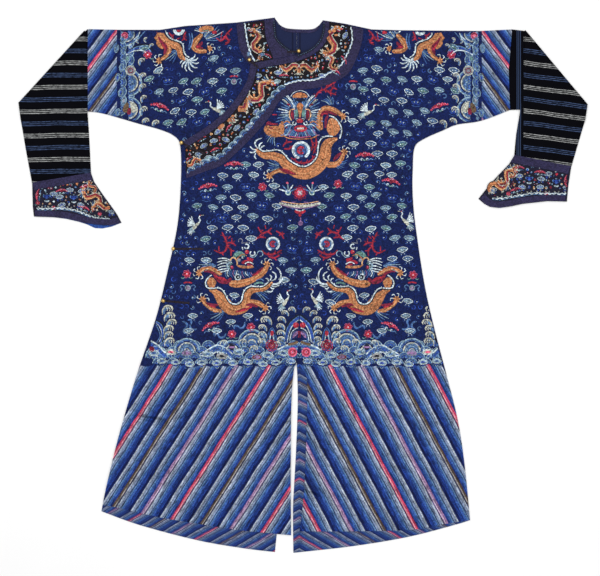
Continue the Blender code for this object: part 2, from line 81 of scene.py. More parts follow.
leftFrontVent = [(-9, -640), (3, -533), (9, -377), (10, -242), (-15.85, -213)]
leftBackHem = [(434, -611), (403, -621), (276, -654), (127, -679), (-25, -696)]
leftBackVent = [(-25, -696), (-26, -585), (-23, -520), (-18, -429), (-14, -325), (-14, -260), (-15.85, -213)]
rightBackHem = [(-524, -588), (-424, -624), (-276, -663), (-156, -684), (-73, -694)]
rightBackVent = [(-73, -694), (-25, -213), (-16.15, -200)]

# broad swells of the front: across, up, half width, half height, rise
swells = [(-200, 430, 150, 90, 1.0), (150, 380, 160, 120, 1.1), (-190, 60, 120, 260, 0.9),
    (160, 20, 110, 280, 1.0), (-330, -345, 130, 55, -0.8), (-300, -300, 140, 40, 1.0),
    (-420, -470, 80, 40, 0.9), (60, -520, 110, 50, -0.8), (90, -450, 120, 50, 0.9), (330, -420, 60, 150, 0.7),
    (-430, 560, 90, 60, 0.8), (420, 560, 100, 60, 0.8)]

# soft creases of the front: from, to, half width, rise
creases = [((-442, -346), (-330, -341), 9, -1.5), ((-436, -330), (-262, -331), 11, 1.5),
    ((-330, -341), (-250, -330), 8, -0.8), ((-436, -500), (-385, -496), 7, -0.9),
    ((-430, -488), (-380, -486), 8, 0.7), ((8, -548), (68, -520), 8, -1.3), ((4, -530), (80, -503), 10, 1.1),
    ((-300, 300), (-215, 215), 14, 0.8), ((-290, 240), (-230, 150), 16, -0.6),
    ((265, 250), (190, 190), 15, 0.8), ((275, 180), (220, 60), 16, -0.5), ((-500, 640), (-400, 500), 18, 0.8),
    ((430, 640), (380, 470), 18, 0.7), ((-330, 390), (-250, 470), 12, 0.7), ((300, 390), (230, 460), 12, 0.7),
    ((-150, 120), (-120, -160), 26, 0.5), ((120, 140), (150, -180), 24, 0.5),
    ((330, -180), (370, -520), 20, 0.6), ((-230, -420), (-260, -600), 22, 0.5),
    ((200, -380), (215, -610), 22, 0.5), ((-16, 480), (-16, -190), 5, -0.35)]


def ease(value):
    value = min(max(value, 0.0), 1.0)
    return value * value * (3.0 - 2.0 * value)


def heightOn(points, x):
    points = sorted(points)
    if x <= points[0][0]:
        return points[0][1]
    for (x0, y0), (x1, y1) in zip(points, points[1:]):
        if x <= x1:
            return y0 + (y1 - y0) * (x - x0) / (x1 - x0)
    return points[-1][1]


def foldLine(x):
    return heightOn(shoulder, x) - foldOuter


def distanceTo(points, x, y):
    best = 1e9
    for (x0, y0), (x1, y1) in zip(points, points[1:]):
        dx, dy = x1 - x0, y1 - y0
        along = min(max(((x - x0) * dx + (y - y0) * dy) / (dx * dx + dy * dy), 0.0), 1.0)
        best = min(best, math.hypot(x - x0 - along * dx, y - y0 - along * dy))
    return best


def creaseRise(x, y):
    rise = 0.0
    for (x0, y0), (x1, y1), wide, high in creases:
        dx, dy = x1 - x0, y1 - y0
        along = ((x - x0) * dx + (y - y0) * dy) / (dx * dx + dy * dy)
        if not -0.3 < along < 1.3:
            continue
        off = abs((x - x0) * dy - (y - y0) * dx) / math.hypot(dx, dy) / wide
        if off < 3.0:
            rise += high * math.exp(-off * off) * ease((along + 0.3) / 0.45) * ease((1.3 - along) / 0.45)
    return rise


def loft(x, y):
    edge = ease(min(distanceTo(rightSide, x, y), distanceTo(leftSide, x, y)) / 95.0)
    belowFold = ease((foldLine(x) - y) / 60.0)
    hemAt = heightOn(overlapHem if x < middle else leftFrontHem, x)
    hem = 0.3 + 0.7 * ease((y - hemAt) / 100.0)
    rise = 2.0
    for across, up, wide, tall, high in swells:
        rise += high * math.exp(-((x - across) / wide) ** 2 - ((y - up) / tall) ** 2)
    return (2 * foldInner - gap) * (1 - belowFold) + edge * hem * belowFold * rise + creaseRise(x,
        y) * edge * belowFold


def flapHem(x):
    return heightOn(overlapHem, x) + 75.0


def onGrid(height, cell, foldAt):
    known = {}

    def node(column, row):
        if (column, row) not in known:
            x = middle + column * cell
            known[column, row] = height(x, row * cell + foldAt(x))
        return known[column, row]

    def at(x, y):
        a = (x - middle) / cell
        b = (y - foldAt(x)) / cell
        column, row = math.floor(a), math.floor(b)
        a, b = a - column, b - row
        low = node(column, row) * (1 - a) + node(column + 1, row) * a
        high = node(column, row + 1) * (1 - a) + node(column + 1, row + 1) * a
        return low * (1 - b) + high * b

    return at


def rightFrontHeight(x, y):
    return wall + gap + loft(x, y)


def overlapHeight(x, y):
    return wall + gap + loft(x, y) + (wall + gap) * ease((y - flapHem(x) + 62.0) / 36.0)


def leftFrontHeight(x, y):
    covered = ease((y - flapHem(middle) + 62.0) / 36.0) * ease((foldLine(x) - y) / 60.0)
    return wall + gap + loft(x, y) + (wall + gap) * (1.0 - ease((x - middle) / 66.0)) * covered


panelCell = 10.0
rightFrontUnder = onGrid(rightFrontHeight, panelCell, foldLine)
overlapUnder = onGrid(overlapHeight, panelCell, foldLine)
leftFrontUnder = onGrid(leftFrontHeight, panelCell, foldLine)


def frontTop(x, y):
    return (overlapUnder if x < middle else leftFrontUnder)(x, y) + wall


def rightFrontTop(x, y):
    return rightFrontUnder(x, y) + wall


def smoothLine(points, step=8.0):
    if len(points) < 3:
        return list(points)
    result = [points[0]]
    for k in range(len(points) - 1):
        p0 = points[max(k - 1, 0)]
        p1, p2 = points[k], points[k + 1]
        p3 = points[min(k + 2, len(points) - 1)]
        pieces = max(1, int(math.hypot(p2[0] - p1[0], p2[1] - p1[1]) / step))
        for j in range(1, pieces + 1):
            t = j / pieces
            result.append(tuple(0.5 * (2 * b + (c - a) * t + (2 * a - 5 * b + 4 * c - d) * t * t
                + (3 * b - a - 3 * c + d) * t ** 3) for a, b, c, d in zip(p0, p1, p2, p3)))
    return result


def onFold(points):
    return [(x, min(y, foldLine(x))) for x, y in points]


def shoulderPoints(low, high):
    inside = [x for x, y in shoulder if low < x < high]
    return [(x, foldLine(x)) for x in [low] + inside + [high]]


# colours are given as the eye sees them and turned into light
def tint(red, green, blue, gain=1.0):
    def light(value):
        value = value / 255.0
        value = value / 12.92 if value <= 0.04045 else ((value + 0.055) / 1.055) ** 2.4
        return value * gain
    return (light(red), light(green), light(blue), 1.0)


class Nodes:
    def __init__(self, tree):
        self.tree = tree

    def add(self, kind, **values):
        node = self.tree.nodes.new(kind)
        for name, value in values.items():
            setattr(node, name, value)
        return node

    def join(self, source, target):
        self.tree.links.new(source, target)

    def feed(self, socket, value):
        if hasattr(value, "node"):
            self.join(value, socket)
        elif value is not None:
            socket.default_value = value

    def math(self, operation, a, b=None, c=None, clamp=False):
        node = self.add("ShaderNodeMath", operation=operation, use_clamp=clamp)
        for socket, value in zip(node.inputs, (a, b, c)):
            self.feed(socket, value)
        return node.outputs[0]

    def mix(self, share, a, b, blend="MIX"):
        node = self.add("ShaderNodeMix", data_type="RGBA", blend_type=blend, clamp_factor=True)
        self.feed(node.inputs[0], share)
        self.feed(node.inputs[6], a)
        self.feed(node.inputs[7], b)
        return node.outputs[2]

    def ramp(self, value, stops, interpolation="LINEAR"):
        node = self.add("ShaderNodeValToRGB")
        node.color_ramp.interpolation = interpolation
        elements = node.color_ramp.elements
        while len(elements) > 1:
            elements.remove(elements[0])
        for k, (place, colour) in enumerate(stops):
            element = elements[0] if k == 0 else elements.new(place)
            element.position = place
            element.color = colour if len(colour) == 4 else (*colour, 1.0)
        self.feed(node.inputs[0], value)
        return node.outputs[0]

    def noise(self, place, scale, detail=2.0, rough=0.5):
        node = self.add("ShaderNodeTexNoise")
        self.feed(node.inputs["Vector"], place)
        self.feed(node.inputs["Scale"], scale)
        self.feed(node.inputs["Detail"], detail)
        self.feed(node.inputs["Roughness"], rough)
        return node.outputs[0]


def newGroup(name, inputs, outputs):
    tree = bpy.data.node_groups.new(name, "ShaderNodeTree")
    for label, kind in inputs:
        tree.interface.new_socket(label, in_out="INPUT", socket_type=kind)
    for label, kind in outputs:
        tree.interface.new_socket(label, in_out="OUTPUT", socket_type=kind)
    nodes = Nodes(tree)
    return nodes, nodes.add("NodeGroupInput").outputs, nodes.add("NodeGroupOutput").inputs


def useGroup(nodes, name, **values):
    node = nodes.add("ShaderNodeGroup")
    node.node_tree = bpy.data.node_groups[name]
    for label, value in values.items():
        nodes.feed(node.inputs[label], value)
    return node.outputs


# shared effects
def makeGroups():
    nodes, given, out = newGroup("satinWeave", [("place", "NodeSocketVector"), ("pitch", "NodeSocketFloat"),
        ("depth", "NodeSocketFloat")], [("normal", "NodeSocketVector"), ("thread", "NodeSocketFloat")])
    split = nodes.add("ShaderNodeSeparateXYZ")
    nodes.join(given["place"], split.inputs[0])
    size = nodes.math("DIVIDE", 6.2832, given["pitch"])
    wander = nodes.math("MULTIPLY", nodes.noise(given["place"], 0.25, 2.0), 3.0)
    warp = nodes.math("SINE", nodes.math("ADD", nodes.math("MULTIPLY", split.outputs[0], size), wander))
    weft = nodes.math("SINE", nodes.math("MULTIPLY", nodes.math("ADD", split.outputs[1],
        nodes.math("MULTIPLY", split.outputs[0], 0.5)), size))
    thread = nodes.math("ADD", nodes.math("MULTIPLY", warp, 0.5), nodes.math("MULTIPLY", weft, 0.35))
    slub = nodes.noise(given["place"], 0.6, 3.0, 0.6)
    height = nodes.math("ADD", thread, nodes.math("MULTIPLY", slub, 1.6))
    bump = nodes.add("ShaderNodeBump")
    bump.inputs["Distance"].default_value = 0.0002
    nodes.join(given["depth"], bump.inputs["Strength"])
    nodes.join(height, bump.inputs["Height"])
    nodes.join(bump.outputs[0], out["normal"])
    nodes.join(nodes.math("MULTIPLY_ADD", thread, 0.5, 0.5), out["thread"])

    nodes, given, out = newGroup("mottle", [("place", "NodeSocketVector"), ("colour", "NodeSocketColor"),
        ("amount", "NodeSocketFloat")], [("colour", "NodeSocketColor")])
    broad = nodes.noise(given["place"], 0.012, 4.0, 0.6)
    fine = nodes.noise(given["place"], 0.22, 3.0, 0.6)
    share = nodes.math("ADD", nodes.math("MULTIPLY", broad, 0.55), nodes.math("MULTIPLY", fine, 0.45))
    lift = nodes.math("MULTIPLY_ADD", nodes.math("SUBTRACT", share, 0.5),
        nodes.math("MULTIPLY", given["amount"], 2.4), 1.0)
    bright = nodes.add("ShaderNodeVectorMath", operation="SCALE")
    nodes.join(given["colour"], bright.inputs[0])
    nodes.join(lift, bright.inputs["Scale"])
    nodes.join(bright.outputs[0], out["colour"])


def makeGrain():
    nodes, given, out = newGroup("stitchGrain", [("place", "NodeSocketVector"), ("colour", "NodeSocketColor"),
        ("contrast", "NodeSocketFloat"), ("size", "NodeSocketFloat")],
        [("colour", "NodeSocketColor"), ("height", "NodeSocketFloat"), ("pick", "NodeSocketFloat")])
    cells = nodes.add("ShaderNodeTexVoronoi")
    nodes.join(given["place"], cells.inputs["Vector"])
    nodes.join(nodes.math("DIVIDE", 1.0, given["size"]), cells.inputs["Scale"])
    parts = nodes.add("ShaderNodeSeparateColor")
    nodes.join(cells.outputs["Color"], parts.inputs[0])
    gapDark = nodes.math("MULTIPLY", nodes.math("POWER", cells.outputs["Distance"], 2.0), -0.9)
    lift = nodes.math("MULTIPLY", nodes.math("ADD", nodes.math("SUBTRACT", parts.outputs[0], 0.36), gapDark),
        given["contrast"])
    bright = nodes.add("ShaderNodeVectorMath", operation="SCALE")
    nodes.join(given["colour"], bright.inputs[0])
    nodes.join(nodes.math("ADD", lift, 1.0), bright.inputs["Scale"])
    nodes.join(bright.outputs[0], out["colour"])
    nodes.join(nodes.math("SUBTRACT", 1.0, cells.outputs["Distance"]), out["height"])
    nodes.join(parts.outputs[1], out["pick"])

    # a soft crease along a line: height falls off alike to both sides and fades towards the ends
    nodes, given, out = newGroup("softCrease", [("x", "NodeSocketFloat"), ("y", "NodeSocketFloat"),
        ("fromX", "NodeSocketFloat"), ("fromY", "NodeSocketFloat"), ("toX", "NodeSocketFloat"),
        ("toY", "NodeSocketFloat"), ("wide", "NodeSocketFloat")], [("height", "NodeSocketFloat")])
    dx, dy = nodes.math("SUBTRACT", given["toX"], given["fromX"]), nodes.math("SUBTRACT", given["toY"],
        given["fromY"])
    px, py = nodes.math("SUBTRACT", given["x"], given["fromX"]), nodes.math("SUBTRACT", given["y"],
        given["fromY"])
    square = nodes.math("ADD", nodes.math("MULTIPLY", dx, dx), nodes.math("MULTIPLY", dy, dy))
    share = nodes.math("DIVIDE", nodes.math("ADD", nodes.math("MULTIPLY", px, dx),
        nodes.math("MULTIPLY", py, dy)), square)
    side = nodes.math("SUBTRACT", nodes.math("MULTIPLY", px, dy), nodes.math("MULTIPLY", py, dx))
    off = nodes.math("DIVIDE", side, nodes.math("MULTIPLY", nodes.math("SQRT", square), given["wide"]))
    body = nodes.math("EXPONENT", nodes.math("MULTIPLY", nodes.math("MULTIPLY", off, off), -1.0))
    ends = nodes.math("MULTIPLY", nodes.math("MULTIPLY", share, nodes.math("SUBTRACT", 1.0, share)), 4.0,
        clamp=True)
    nodes.join(nodes.math("MULTIPLY", body, ends), out["height"])


makeGroups()
makeGrain()
print("groups ready")

look = {"ground": tint(14, 29, 80), "groundDark": tint(8, 15, 48), "reverse": tint(26, 34, 66),
    "stripeDark": tint(12, 24, 78), "stripeDeep": tint(28, 56, 132), "stripeBlue": tint(56, 92, 164),
    "stripeSoft": tint(96, 132, 172), "stripePale": tint(126, 142, 172), "stripeLight": tint(174, 184, 200),
    "stripeLine": tint(34, 56, 104), "pink": tint(206, 72, 104), "brown": tint(88, 72, 60),
    "mauve": tint(158, 122, 164), "crimson": tint(176, 36, 62), "black": tint(6, 6, 11),
    "lineGrey": tint(176, 178, 178), "lineBlue": tint(72, 90, 128), "braid": tint(54, 48, 84),
    "braidDark": tint(34, 33, 62), "satin": tint(8, 6, 14), "satinWarm": tint(30, 20, 28),
    "clothBlue": tint(44, 84, 160), "cuff": tint(9, 9, 20)}


def millimetres(nodes):
    place = nodes.add("ShaderNodeTexCoord")
    scaled = nodes.add("ShaderNodeVectorMath", operation="SCALE")
    scaled.inputs["Scale"].default_value = 1000.0
    nodes.join(place.outputs["Object"], scaled.inputs[0])
    split = nodes.add("ShaderNodeSeparateXYZ")
    nodes.join(scaled.outputs[0], split.inputs[0])
    return scaled.outputs[0], split.outputs[0], split.outputs[1]


def newMaterial(name, rough=0.55, sheen=0.05, metal=0.0, specular=0.12, sheenTint=(0.35, 0.42, 0.7, 1.0)):
    material = bpy.data.materials.new(name)
    material.use_nodes = True
    shader = material.node_tree.nodes["Principled BSDF"]
    shader.inputs["Roughness"].default_value = rough
    shader.inputs["Metallic"].default_value = metal
    shader.inputs["Sheen Weight"].default_value = sheen
    shader.inputs["Sheen Roughness"].default_value = 0.35
    shader.inputs["Sheen Tint"].default_value = sheenTint
    shader.inputs["Specular IOR Level"].default_value = specular
    return material, Nodes(material.node_tree), shader


# bands of light and dark between two accents, then the accent of that turn
stripeBands = [(0.0, "stripeDark"), (0.13, "stripeDark"), (0.16, "stripeDeep"), (0.36, "stripeDeep"),
    (0.4, "stripeBlue"), (0.54, "stripeBlue"), (0.56, "stripeSoft"), (0.62, "stripeSoft"),
    (0.64, "stripeLine"), (0.68, "stripeLine"), (0.7, "stripePale"), (0.84, "stripePale"),
    (0.86, "stripeLight"), (0.94, "stripeLight"), (0.96, "stripeLine"), (1.0, "stripeDark")]


def stripeColours(nodes, along, down):
    period = 85.5
    turn = nodes.math("DIVIDE", along, period)
    part = nodes.math("FRACT", turn)
    bands = nodes.ramp(part, [(share / 2 + half, look[name]) for half in (0.0, 0.5) for share,
        name in stripeBands])
    third = nodes.math("FRACT", nodes.math("DIVIDE", nodes.math("ADD", turn, 0.02), 3.0))
    accent = nodes.ramp(third, [(0.0, look["brown"]), (0.3333, look["pink"]), (0.6667, look["mauve"])],
        "CONSTANT")
    edge = nodes.math("COMPARE", part, 0.065, 0.07)
    core = nodes.math("COMPARE", part, 0.065, 0.052)
    # shine is a painted highlight: a pale streak along one side of each accent stripe
    shine = nodes.math("COMPARE", part, 0.04, 0.018)
    colour = nodes.mix(edge, bands, nodes.mix(0.6, accent, look["stripeDark"]))
    colour = nodes.mix(core, colour, nodes.mix(nodes.math("MULTIPLY", shine, 0.28), accent, (1, 1, 1, 1)))
    rows = nodes.add("ShaderNodeCombineXYZ")
    nodes.join(nodes.math("MULTIPLY", along, 0.42), rows.inputs[0])
    nodes.join(nodes.math("MULTIPLY", down, 0.05), rows.inputs[1])
    streaks = useGroup(nodes, "stitchGrain", place=rows.outputs[0], colour=colour, contrast=0.8, size=1.0)
    dots = nodes.add("ShaderNodeCombineXYZ")
    nodes.join(nodes.math("MULTIPLY", along, 0.36), dots.inputs[0])
    nodes.join(nodes.math("MULTIPLY", down, 0.3), dots.inputs[1])
    return useGroup(nodes, "stitchGrain", place=dots.outputs[0], colour=streaks[0], contrast=0.6, size=1.0)[0]


def creaseBump(nodes, x, y, normal, lines, distance=0.004):
    height = None
    for (x0, y0), (x1, y1), wide, rise in lines:
        one = useGroup(nodes, "softCrease", x=x, y=y, fromX=x0, fromY=y0, toX=x1, toY=y1, wide=wide)[0]
        one = nodes.math("MULTIPLY", one, rise)
        height = one if height is None else nodes.math("ADD", height, one)
    bump = nodes.add("ShaderNodeBump")
    bump.inputs["Distance"].default_value = distance
    nodes.join(height, bump.inputs["Height"])
    nodes.join(normal, bump.inputs["Normal"])
    return bump.outputs[0]


# fine creases: from, to, half width, rise
pressLines = [((-452, -340), (-340, -356), 5.0, -2.0), ((-352, -352), (-262, -338), 4.0, -0.7),
    ((-440, -332), (-350, -346), 6.0, 1.2), ((-440, -494), (-330, -502), 5.0, -0.9),
    ((-20, -520), (70, -548), 6.0, 1.3), ((0, -534), (60, -560), 5.0, -1.2),
    ((120, -250), (128, -420), 9.0, 0.8), ((-210, -260), (-236, -470), 10.0, 0.7),
    ((300, -330), (360, -540), 11.0, 0.8), ((-120, -300), (-150, -620), 10.0, -0.6),
    ((210, -300), (250, -600), 10.0, -0.7), ((-300, -240), (-380, -560), 11.0, -0.6),
    ((-300, 300), (-210, 60), 9.0, 0.6), ((270, 320), (200, 110), 9.0, 0.6),
    ((-280, 40), (-120, -60), 10.0, -0.5), ((250, 60), (120, -40), 10.0, -0.5),
    ((-330, 560), (-250, 440), 8.0, 0.6), ((330, 560), (240, 430), 8.0, 0.6)]


def silkMaterial():
    material, nodes, shader = newMaterial("navySilk", 0.52, 0.04, 0.0, 0.09)
    place, x, y = millimetres(nodes)
    fromMiddle = nodes.math("SUBTRACT", x, mirrorLine)
    out = nodes.math("ABSOLUTE", fromMiddle)
    side = nodes.math("GREATER_THAN", fromMiddle, 0.0)
    slope = nodes.math("MULTIPLY_ADD", side, 0.532 - 0.637, 0.637)
    wander = nodes.math("MULTIPLY", nodes.math("SUBTRACT", nodes.noise(place, 0.009, 2.0), 0.5), 6.0)
    along = nodes.math("ADD", nodes.math("MULTIPLY_ADD", nodes.math("ADD", y, 223.6), slope, out), wander)
    down = nodes.math("SUBTRACT", y, nodes.math("MULTIPLY", slope, out))
    skirt = stripeColours(nodes, nodes.math("ADD", along, 5.0), down)
    scallop = nodes.math("MULTIPLY", nodes.math("ABSOLUTE", nodes.math("SINE",
        nodes.math("MULTIPLY", out, 0.075))), 7.0)
    isSkirt = nodes.math("LESS_THAN", y, nodes.math("SUBTRACT", -205.0, scallop))
    sleeveAlong = nodes.math("ADD", nodes.math("MULTIPLY_ADD", nodes.math("SUBTRACT", y, 559.0), 0.74,
        nodes.math("SUBTRACT", out, 549.5)), wander)
    sleeve = stripeColours(nodes, nodes.math("ADD", sleeveAlong, 91.0),
        nodes.math("SUBTRACT", y, nodes.math("MULTIPLY", out, 0.74)))
    isSleeve = nodes.math("MULTIPLY", nodes.math("GREATER_THAN", out, 474.0),
        nodes.math("GREATER_THAN", y, 380.0))
    ground = useGroup(nodes, "mottle", place=place, colour=look["ground"], amount=0.5)[0]
    ground = useGroup(nodes, "stitchGrain", place=place, colour=ground, contrast=0.8, size=3.2)[0]
    colour = nodes.mix(isSleeve, nodes.mix(isSkirt, ground, skirt), sleeve)
    colour = useGroup(nodes, "mottle", place=place, colour=colour, amount=0.16)[0]
    weave = useGroup(nodes, "satinWeave", place=place, pitch=0.9, depth=0.6)
    stitched = nodes.mix(nodes.math("MULTIPLY", weave[1], 0.22), colour, look["groundDark"])
    nodes.join(stitched, shader.inputs["Base Color"])
    nodes.join(creaseBump(nodes, x, y, weave[0], pressLines), shader.inputs["Normal"])
    return material


def reverseMaterial():
    material, nodes, shader = newMaterial("silkReverse", 0.6, 0.04, 0.0, 0.08)
    place, x, y = millimetres(nodes)
    fromMiddle = nodes.math("SUBTRACT", x, mirrorLine)
    out = nodes.math("ABSOLUTE", fromMiddle)
    wander = nodes.math("MULTIPLY", nodes.math("SUBTRACT", nodes.noise(place, 0.02, 2.0), 0.5), 9.0)
    along = nodes.math("ADD", nodes.math("MULTIPLY_ADD", nodes.math("ADD", y, 690.0), 1.7, out), wander)
    skirt = stripeColours(nodes, nodes.math("ADD", along, 30.0), nodes.math("SUBTRACT", y, out))
    skirt = nodes.mix(0.5, skirt, tint(30, 44, 92))
    isSkirt = nodes.math("LESS_THAN", y, -215.0)
    line = nodes.math("ADD", nodes.math("COMPARE", x, -27.0, 2.2), nodes.math("COMPARE", x, -8.0, 2.2))
    plain = nodes.mix(nodes.math("MULTIPLY", line, 0.75), look["reverse"], tint(12, 16, 40))
    plain = useGroup(nodes, "mottle", place=place, colour=plain, amount=0.3)[0]
    weave = useGroup(nodes, "satinWeave", place=place, pitch=1.1, depth=0.5)
    nodes.join(nodes.mix(isSkirt, plain, skirt), shader.inputs["Base Color"])
    nodes.join(weave[0], shader.inputs["Normal"])
    return material


# plain or striped cloth of the trims and sleeves
def plainMaterial(name, colour, second, share=0.25, pitch=1.0, rough=0.6, sheen=0.04):
    material, nodes, shader = newMaterial(name, rough, sheen)
    place, x, y = millimetres(nodes)
    weave = useGroup(nodes, "satinWeave", place=place, pitch=pitch, depth=0.7)
    mixed = nodes.mix(nodes.math("MULTIPLY", nodes.noise(place, 0.35, 3.0, 0.7), share * 2.0), colour, second)
    mixed = nodes.mix(nodes.math("MULTIPLY", weave[1], share), mixed, second)
    mixed = useGroup(nodes, "mottle", place=place, colour=mixed, amount=0.25)[0]
    mixed = useGroup(nodes, "stitchGrain", place=place, colour=mixed, contrast=0.75, size=2.6)[0]
    nodes.join(mixed, shader.inputs["Base Color"])
    nodes.join(weave[0], shader.inputs["Normal"])
    return material


# black satin crossed by groups of three fine lines, every other group bluer and dimmer
blackLines = {"pitch": 31.2, "apart": 4.6, "half": 0.95, "wander": 5.0, "uprightApart": 4.4,
    "uprightHalf": 0.9}


def stripedBlack(name, tilt, start, upright):
    facts = blackLines
    material, nodes, shader = newMaterial(name, 0.6, 0.01, 0.0, 0.02)
    place, x, y = millimetres(nodes)
    wander = nodes.math("MULTIPLY", nodes.math("SUBTRACT", nodes.noise(place, 0.012, 1.0), 0.5),
        facts["wander"])
    along = nodes.math("ADD", nodes.math("MULTIPLY_ADD", x, tilt, y), wander)
    turn = nodes.math("DIVIDE", nodes.math("SUBTRACT", along, start), facts["pitch"])
    part = nodes.math("MULTIPLY", nodes.math("SUBTRACT", nodes.math("FRACT", turn), 0.5), facts["pitch"])
    lines = None
    for step in (-1, 0, 1):
        line = nodes.math("COMPARE", part, step * facts["apart"], facts["half"])
        lines = line if lines is None else nodes.math("ADD", lines, line)
    pair = nodes.math("GREATER_THAN", nodes.math("FRACT", nodes.math("MULTIPLY", turn, 0.5)), 0.5)
    lineColour = nodes.mix(pair, look["lineGrey"], look["lineBlue"])
    # painted gleam: the fine lines show only in long streaks where a painted sheen lies on them
    shear = nodes.add("ShaderNodeCombineXYZ")
    nodes.join(nodes.math("MULTIPLY", x, 0.09), shear.inputs[0])
    nodes.join(nodes.math("MULTIPLY", y, 0.34), shear.inputs[1])
    gleam = nodes.ramp(nodes.noise(shear.outputs[0], 1.0, 3.0, 0.7),
        [(0.36, (0.08, 0.08, 0.08, 1)), (0.62, (1, 1, 1, 1))])
    gleamingLines = nodes.math("MULTIPLY", lines, gleam, clamp=True)
    ground = useGroup(nodes, "mottle", place=place, colour=look["black"], amount=0.5)[0]
    colour = nodes.mix(gleamingLines, ground, lineColour)
    if upright is not None:
        low, high, centre = upright
        band = nodes.math("MULTIPLY", nodes.math("GREATER_THAN", x, low), nodes.math("LESS_THAN", x, high))
        stand = None
        for step in (-1, 0, 1):
            line = nodes.math("COMPARE", x, centre + step * facts["uprightApart"], facts["uprightHalf"])
            stand = line if stand is None else nodes.math("ADD", stand, line)
        strip = nodes.mix(nodes.math("MULTIPLY", stand, 0.55), ground, look["lineBlue"])
        colour = nodes.mix(band, colour, strip)
    weave = useGroup(nodes, "satinWeave", place=place, pitch=0.9, depth=0.5)
    nodes.join(colour, shader.inputs["Base Color"])
    nodes.join(weave[0], shader.inputs["Normal"])
    return material


def brassMaterial():
    material, nodes, shader = newMaterial("giltBrass", 0.3, 0.0, 1.0, 0.5)
    place, x, y = millimetres(nodes)
    wear = nodes.noise(place, 0.5, 4.0, 0.6)
    colour = nodes.ramp(wear, [(0.3, tint(150, 118, 62)), (0.55, tint(214, 180, 110)),
        (0.8, tint(236, 212, 150))])
    bump = nodes.add("ShaderNodeBump")
    bump.inputs["Strength"].default_value = 0.35
    bump.inputs["Distance"].default_value = 0.0003
    nodes.join(nodes.noise(place, 1.2, 3.0), bump.inputs["Height"])
    nodes.join(colour, shader.inputs["Base Color"])
    nodes.join(nodes.math("MULTIPLY_ADD", wear, 0.3, 0.2), shader.inputs["Roughness"])
    nodes.join(bump.outputs[0], shader.inputs["Normal"])
    return material


silk = silkMaterial()
reverse = reverseMaterial()
braidCloth = plainMaterial("braidCloth", look["braid"], look["braidDark"], 0.45, 1.6)
bandCloth = plainMaterial("bandSatin", look["satin"], look["satinWarm"], 0.3, 0.9, 0.5)
cuffCloth = plainMaterial("cuffSatin", look["cuff"], look["braidDark"], 0.3, 0.9, 0.5)
liningBlue = plainMaterial("cuffLining", look["clothBlue"], tint(30, 58, 130), 0.3, 0.9, 0.5)
loopCloth = plainMaterial("loopCloth", tint(18, 16, 26), tint(56, 46, 54), 0.35, 1.4)
rightBlack = stripedBlack("rightSleeveSatin", -0.01, 5.0, None)
leftBlack = stripedBlack("leftSleeveSatin", 0.13, 12.0, (500.0, 573.0, 560.5))
brass = brassMaterial()
print("materials ready")


# cloth building, as the solids are built but finer
def newCloth():
    bm = bmesh.new()
    for name in ("inner", "outer", "foot"):
        bm.verts.layers.float_vector.new(name)
    return bm


def cutSheets(bm, sheets, cell, foldAt):
    lows, highs = [1e9, 1e9], [-1e9, -1e9]
    for outline, depth in sheets:
        ring = []
        for x, y in outline:
            point = (x, y - foldAt(x))
            if ring and math.dist(point, last) < 0.05:
                continue
            ring.append(bm.verts.new((point[0] * mm, point[1] * mm, depth)))
            last = point
            lows = [min(a, b) for a, b in zip(lows, point)]
            highs = [max(a, b) for a, b in zip(highs, point)]
        bm.faces.new(ring)
    for axis, base in ((0, middle), (1, 0.0)):
        normal = (1, 0, 0) if axis == 0 else (0, 1, 0)
        for k in range(math.ceil((lows[axis] - base) / cell), math.floor((highs[axis] - base) / cell) + 1):
            spot = [0, 0, 0]
            spot[axis] = (base + k * cell) * mm
            bmesh.ops.bisect_plane(bm, geom=bm.verts[:] + bm.edges[:] + bm.faces[:], dist=2e-6, plane_co=spot,
                plane_no=normal)


def placeSheet(bm, depth, foldAt, inner, outer):
    innerLayer = bm.verts.layers.float_vector["inner"]
    outerLayer = bm.verts.layers.float_vector["outer"]
    footLayer = bm.verts.layers.float_vector["foot"]
    for vert in [v for v in bm.verts if abs(v.co.z - depth) < 1e-6]:
        x = vert.co.x / mm
        y = vert.co.y / mm + foldAt(x)
        vert[innerLayer] = Vector((x, y, inner(x, y))) * mm
        vert[outerLayer] = Vector((x, y, outer(x, y))) * mm
        vert[footLayer] = Vector((x, y, 0)) * mm
        vert.co = (vert[innerLayer] + vert[outerLayer]) * 0.5


def rollEdge(bm, isFold, outward, small, thick, steps=6):
    innerLayer = bm.verts.layers.float_vector["inner"]
    outerLayer = bm.verts.layers.float_vector["outer"]
    footLayer = bm.verts.layers.float_vector["foot"]
    centre = (thick + small) * mm
    level = centre + small * mm - 1e-6
    edges = [e for e in bm.edges if e.is_boundary and min(v[innerLayer].z for v in e.verts) > level
        and all(isFold(v[footLayer].x / mm, v[footLayer].y / mm) for v in e.verts)]
    side = Vector((outward[0], outward[1], 0)).normalized()
    for step in range(1, steps + 1):
        made = bmesh.ops.extrude_edge_only(bm, edges=edges)["geom"]
        fresh = set(item for item in made if isinstance(item, bmesh.types.BMVert))
        turn = math.radians(90.0 - 180.0 * step / steps)
        for vert in fresh:
            for layer, radius in ((innerLayer, small), (outerLayer, small + thick)):
                reach = vert[footLayer] + side * radius * mm * math.cos(turn)
                vert[layer] = Vector((reach.x, reach.y, centre + radius * mm * math.sin(turn)))
            vert.co = (vert[innerLayer] + vert[outerLayer]) * 0.5
        edges = [item for item in made if isinstance(item, bmesh.types.BMEdge)
            and all(v in fresh for v in item.verts)]
    bmesh.ops.remove_doubles(bm, verts=bm.verts[:], dist=2e-5)


